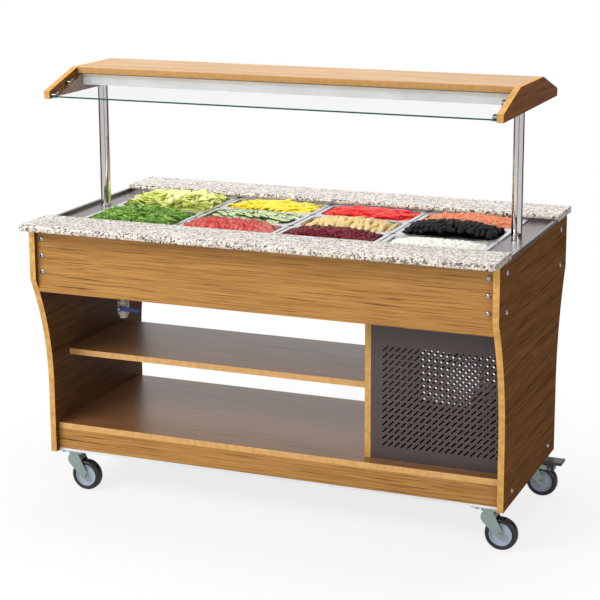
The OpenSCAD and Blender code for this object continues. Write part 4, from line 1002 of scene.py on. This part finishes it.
def shingled_places(pan, rows, per_row, lean, edge_drop, rise, seed, inset):
    """Rows of overlapping slices that lean against each other along the pan."""
    dice = random.Random(seed)
    places = []
    for row in range(rows):
        v = (row + 0.5) / rows * 2 - 1
        for place in range(per_row):
            u = (place + 0.5) / per_row * 2 - 1
            x = u * (pan.half_x - inset) + dice.uniform(-0.003, 0.003)
            y = v * (pan.half_y - inset * 0.35) + dice.uniform(-0.004, 0.004)
            top = pan.surface(x / pan.half_x, y / pan.half_y, edge_drop, rise)
            turns = ((dice.gauss(0, 0.16), "Z"), (lean + dice.gauss(0, 0.07), "Y"),
                     (dice.gauss(0, 0.09), "X"))
            turn = tumble(turns, dice.uniform(0.92, 1.08))
            z = top + dice.uniform(0.0, 0.003)
            places.append(Matrix.Translation((pan.x + x, pan.y + y, z)) @ turn)
    return places


def cut_stocks(cut, *sizes):
    """One stock piece for each set of sizes."""
    return [cut(*size) for size in sizes]


def fill_rocket():
    pan = Pan("pan_half_front")
    leaf = food_finish("rocket_leaf", srgb(116, 166, 62), srgb(168, 206, 106), srgb(52, 100, 30), 110.0, 0.42)
    bed(pan, "rocket_bed", leaf, edge_drop=0.026, rise=0.004, lumps=0.003, seed=1)
    stocks = cut_stocks(crumpled_leaf, (0.015, 0.052, 3, 11), (0.012, 0.044, 2, 12), (0.010, 0.060, 4, 13))
    heap(pan, "rocket_leaves", leaf, stocks, 760, edge_drop=0.018, rise=0.010, tilt=0.34, seed=21, sink=0.5)
    put_away(stocks)


def fill_lettuce():
    pan = Pan("pan_half_rear")
    # Lettuce tones: its pale leaf colour pushed lighter still, a painted lightening that offsets the shade
    # between the leaves
    leaf = food_finish("lettuce_leaf", srgb(252, 255, 176), srgb(238, 250, 132), srgb(253, 255, 226),
                       18.0, 0.4, glow=0.25)
    bed(pan, "lettuce_bed", leaf, edge_drop=0.026, rise=0.006, lumps=0.003, seed=2)
    stocks = cut_stocks(crumpled_leaf, (0.062, 0.078, 0, 31, 0.10, 0.10), (0.050, 0.066, 0, 32, 0.14, 0.12),
                        (0.072, 0.070, 0, 33, 0.08, 0.14))
    heap(pan, "lettuce_leaves", leaf, stocks, 64, edge_drop=0.020, rise=0.006, tilt=0.16, seed=22, sink=0.3)
    put_away(stocks)


def fill_pepper(node, name, main, other, seed, widths, heading):
    """Pepper strips in three widths, which lie about one way, in degrees."""
    pan = Pan(node)
    flesh = food_finish(name + "_flesh", main, other, None, 40.0, 0.3, wet=0.4, glow=0.05)
    bed(pan, name + "_bed", flesh, edge_drop=0.026, rise=0.002, lumps=0.002, seed=seed)
    stocks = cut_stocks(curved_strip, (widths[0], 0.066, 0.0045, 0.7), (widths[1], 0.080, 0.004, 0.9),
                        (widths[2], 0.056, 0.0045, 0.5))
    heap(pan, name + "_strips", flesh, stocks, 170, edge_drop=0.020, rise=0.006, tilt=0.16,
         seed=seed + 40, sink=0.2, along=math.radians(heading))
    put_away(stocks)


def cucumber_finish():
    """Pale wet flesh with a clouded seed ring."""
    flesh = Finish("cucumber_flesh", srgb(220, 232, 172), 0.34)
    flesh.set("Specular IOR Level", 0.2)
    flesh.set("Coat Weight", 0.15)
    seeds = flesh.noise(even(190.0), 3.0)
    cloud = flesh.band(seeds, 0.42, 0.62)
    flesh.set("Base Color", flesh.mix(cloud, srgb(232, 240, 196), srgb(186, 212, 122)))
    flesh.relief(seeds, 0.0003, 0.3)
    return flesh.material


def fill_cucumber():
    pan = Pan("pan_third_2_middle")
    flesh = cucumber_finish()
    rind = food_finish("cucumber_rind", srgb(32, 66, 22), srgb(58, 98, 34), None, 120.0, 0.35)
    bed(pan, "cucumber_bed", flesh, edge_drop=0.028, rise=-0.002, lumps=0.002, seed=5)
    round_cut = round_slice(0.0215, 0.0048, 0.15, 3, 22)
    hoop = rim_hoop(0.0215, 0.0019)
    places = shingled_places(pan, 4, 9, lean=0.12, edge_drop=0.018, rise=0.006, seed=55, inset=0.024)
    gather(pan, "cucumber_slices", flesh, [(round_cut, place) for place in places])
    gather(pan, "cucumber_rinds", rind, [(hoop, place) for place in places])
    put_away([round_cut, hoop])


def fill_tomato():
    pan = Pan("pan_third_2_front")
    flesh = food_finish("tomato_flesh", srgb(244, 88, 78), srgb(250, 146, 130), srgb(255, 218, 200),
                        120.0, 0.4, 260.0, 0.05)
    skin = food_finish("tomato_skin", srgb(206, 30, 26), srgb(222, 48, 36), None, 80.0, 0.25, wet=0.25)
    bed(pan, "tomato_bed", flesh, edge_drop=0.028, rise=-0.002, lumps=0.002, seed=6)
    round_cut = round_slice(0.0285, 0.0052, 0.2, 3, 24)
    hoop = rim_hoop(0.0284, 0.0019)
    places = shingled_places(pan, 3, 17, lean=0.85, edge_drop=0.024, rise=0.000, seed=66, inset=0.030)
    gather(pan, "tomato_slices", flesh, [(round_cut, place) for place in places])
    gather(pan, "tomato_skins", skin, [(hoop, place) for place in places])
    put_away([round_cut, hoop])


def fill_corn():
    pan = Pan("pan_third_3_middle")
    kernel = food_finish("corn_kernel", srgb(248, 218, 148), srgb(252, 234, 182), srgb(230, 190, 108),
                         60.0, 0.4, 500.0)
    bed(pan, "corn_bed", kernel, edge_drop=0.028, rise=-0.002, lumps=0.002, seed=7)
    stocks = cut_stocks(corn_spear, (0.0084, 0.070, 71), (0.0078, 0.064, 72), (0.0090, 0.074, 73))
    places = shingled_places(pan, 2, 18, lean=0.0, edge_drop=0.020, rise=0.006, seed=77, inset=0.012)
    places += shingled_places(pan, 1, 15, lean=0.0, edge_drop=0.014, rise=0.012, seed=78, inset=0.030)
    gather(pan, "corn_spears", kernel, [(stocks[n % 3], place) for n, place in enumerate(places)])
    put_away(stocks)


def fill_beans():
    pan = Pan("pan_third_3_front")
    bean = food_finish("kidney_bean", srgb(98, 10, 26), srgb(130, 20, 38), None, 60.0, 0.3, wet=0.12)
    bed(pan, "bean_bed", bean, edge_drop=0.026, rise=0.002, lumps=0.002, seed=8)
    stocks = cut_stocks(ellipsoid, (0.0052, 1.8, 0.35, 0.02, 81), (0.0056, 1.65, 0.28, 0.02, 82))
    heap(pan, "kidney_beans", bean, stocks, 480, edge_drop=0.018, rise=0.008, tilt=0.6, seed=88, sink=-0.15)
    put_away(stocks)


def fill_carrot():
    pan = Pan("pan_third_4_rear")
    shred = food_finish("carrot_shred", srgb(248, 146, 102), srgb(252, 184, 148), None, 120.0, 0.45)
    bed(pan, "carrot_bed", shred, edge_drop=0.024, rise=0.002, lumps=0.002, seed=9)
    stocks = cut_stocks(wavy_strip, (0.0030, 0.040, 0.004, 1.6, 0.0022, 91),
                        (0.0026, 0.050, 0.005, 2.2, 0.0020, 92))
    heap(pan, "carrot_shreds", shred, stocks, 700, edge_drop=0.016, rise=0.005, tilt=0.2, seed=99, sink=0.2)
    put_away(stocks)


def fill_olives():
    pan = Pan("pan_third_4_middle")
    skin = food_finish("olive_skin", srgb(3, 2, 3), srgb(8, 6, 8), None, 60.0, 0.6, wet=0.16,
                       coat_roughness=0.05)
    bed(pan, "olive_bed", skin, edge_drop=0.026, rise=0.002, lumps=0.002, seed=10)
    stocks = cut_stocks(ellipsoid, (0.0096, 1.06, 0.0, 0.01, 101), (0.0090, 1.10, 0.0, 0.01, 102))
    heap(pan, "black_olives", skin, stocks, 190, edge_drop=0.014, rise=0.010, tilt=0.8, seed=111, sink=-0.2)
    put_away(stocks)


def fill_feta():
    pan = Pan("pan_third_4_front")
    curd = food_finish("feta_curd", srgb(252, 251, 240), srgb(255, 255, 250), srgb(246, 243, 222),
                       90.0, 0.55, 320.0, 0.05)
    bed(pan, "feta_bed", curd, edge_drop=0.022, rise=0.000, lumps=0.001, seed=12)
    stocks = cut_stocks(soft_block, (0.012, 0.012, 0.008, 121), (0.010, 0.013, 0.007, 122),
                        (0.013, 0.010, 0.008, 123))
    heap(pan, "feta_cubes", curd, stocks, 380, edge_drop=0.016, rise=0.001, tilt=0.22, seed=122, sink=0.3)
    put_away(stocks)


fill_rocket()
fill_lettuce()
fill_pepper("pan_third_2_rear", "yellow_pepper", srgb(250, 222, 34), srgb(252, 232, 70), seed=3,
            widths=(0.011, 0.009, 0.012), heading=-50)
fill_cucumber()
fill_tomato()
fill_pepper("pan_third_3_rear", "red_pepper", srgb(226, 28, 20), srgb(236, 50, 34), seed=4,
            widths=(0.016, 0.013, 0.018), heading=-70)
fill_corn()
fill_beans()
fill_carrot()
fill_olives()
fill_feta()
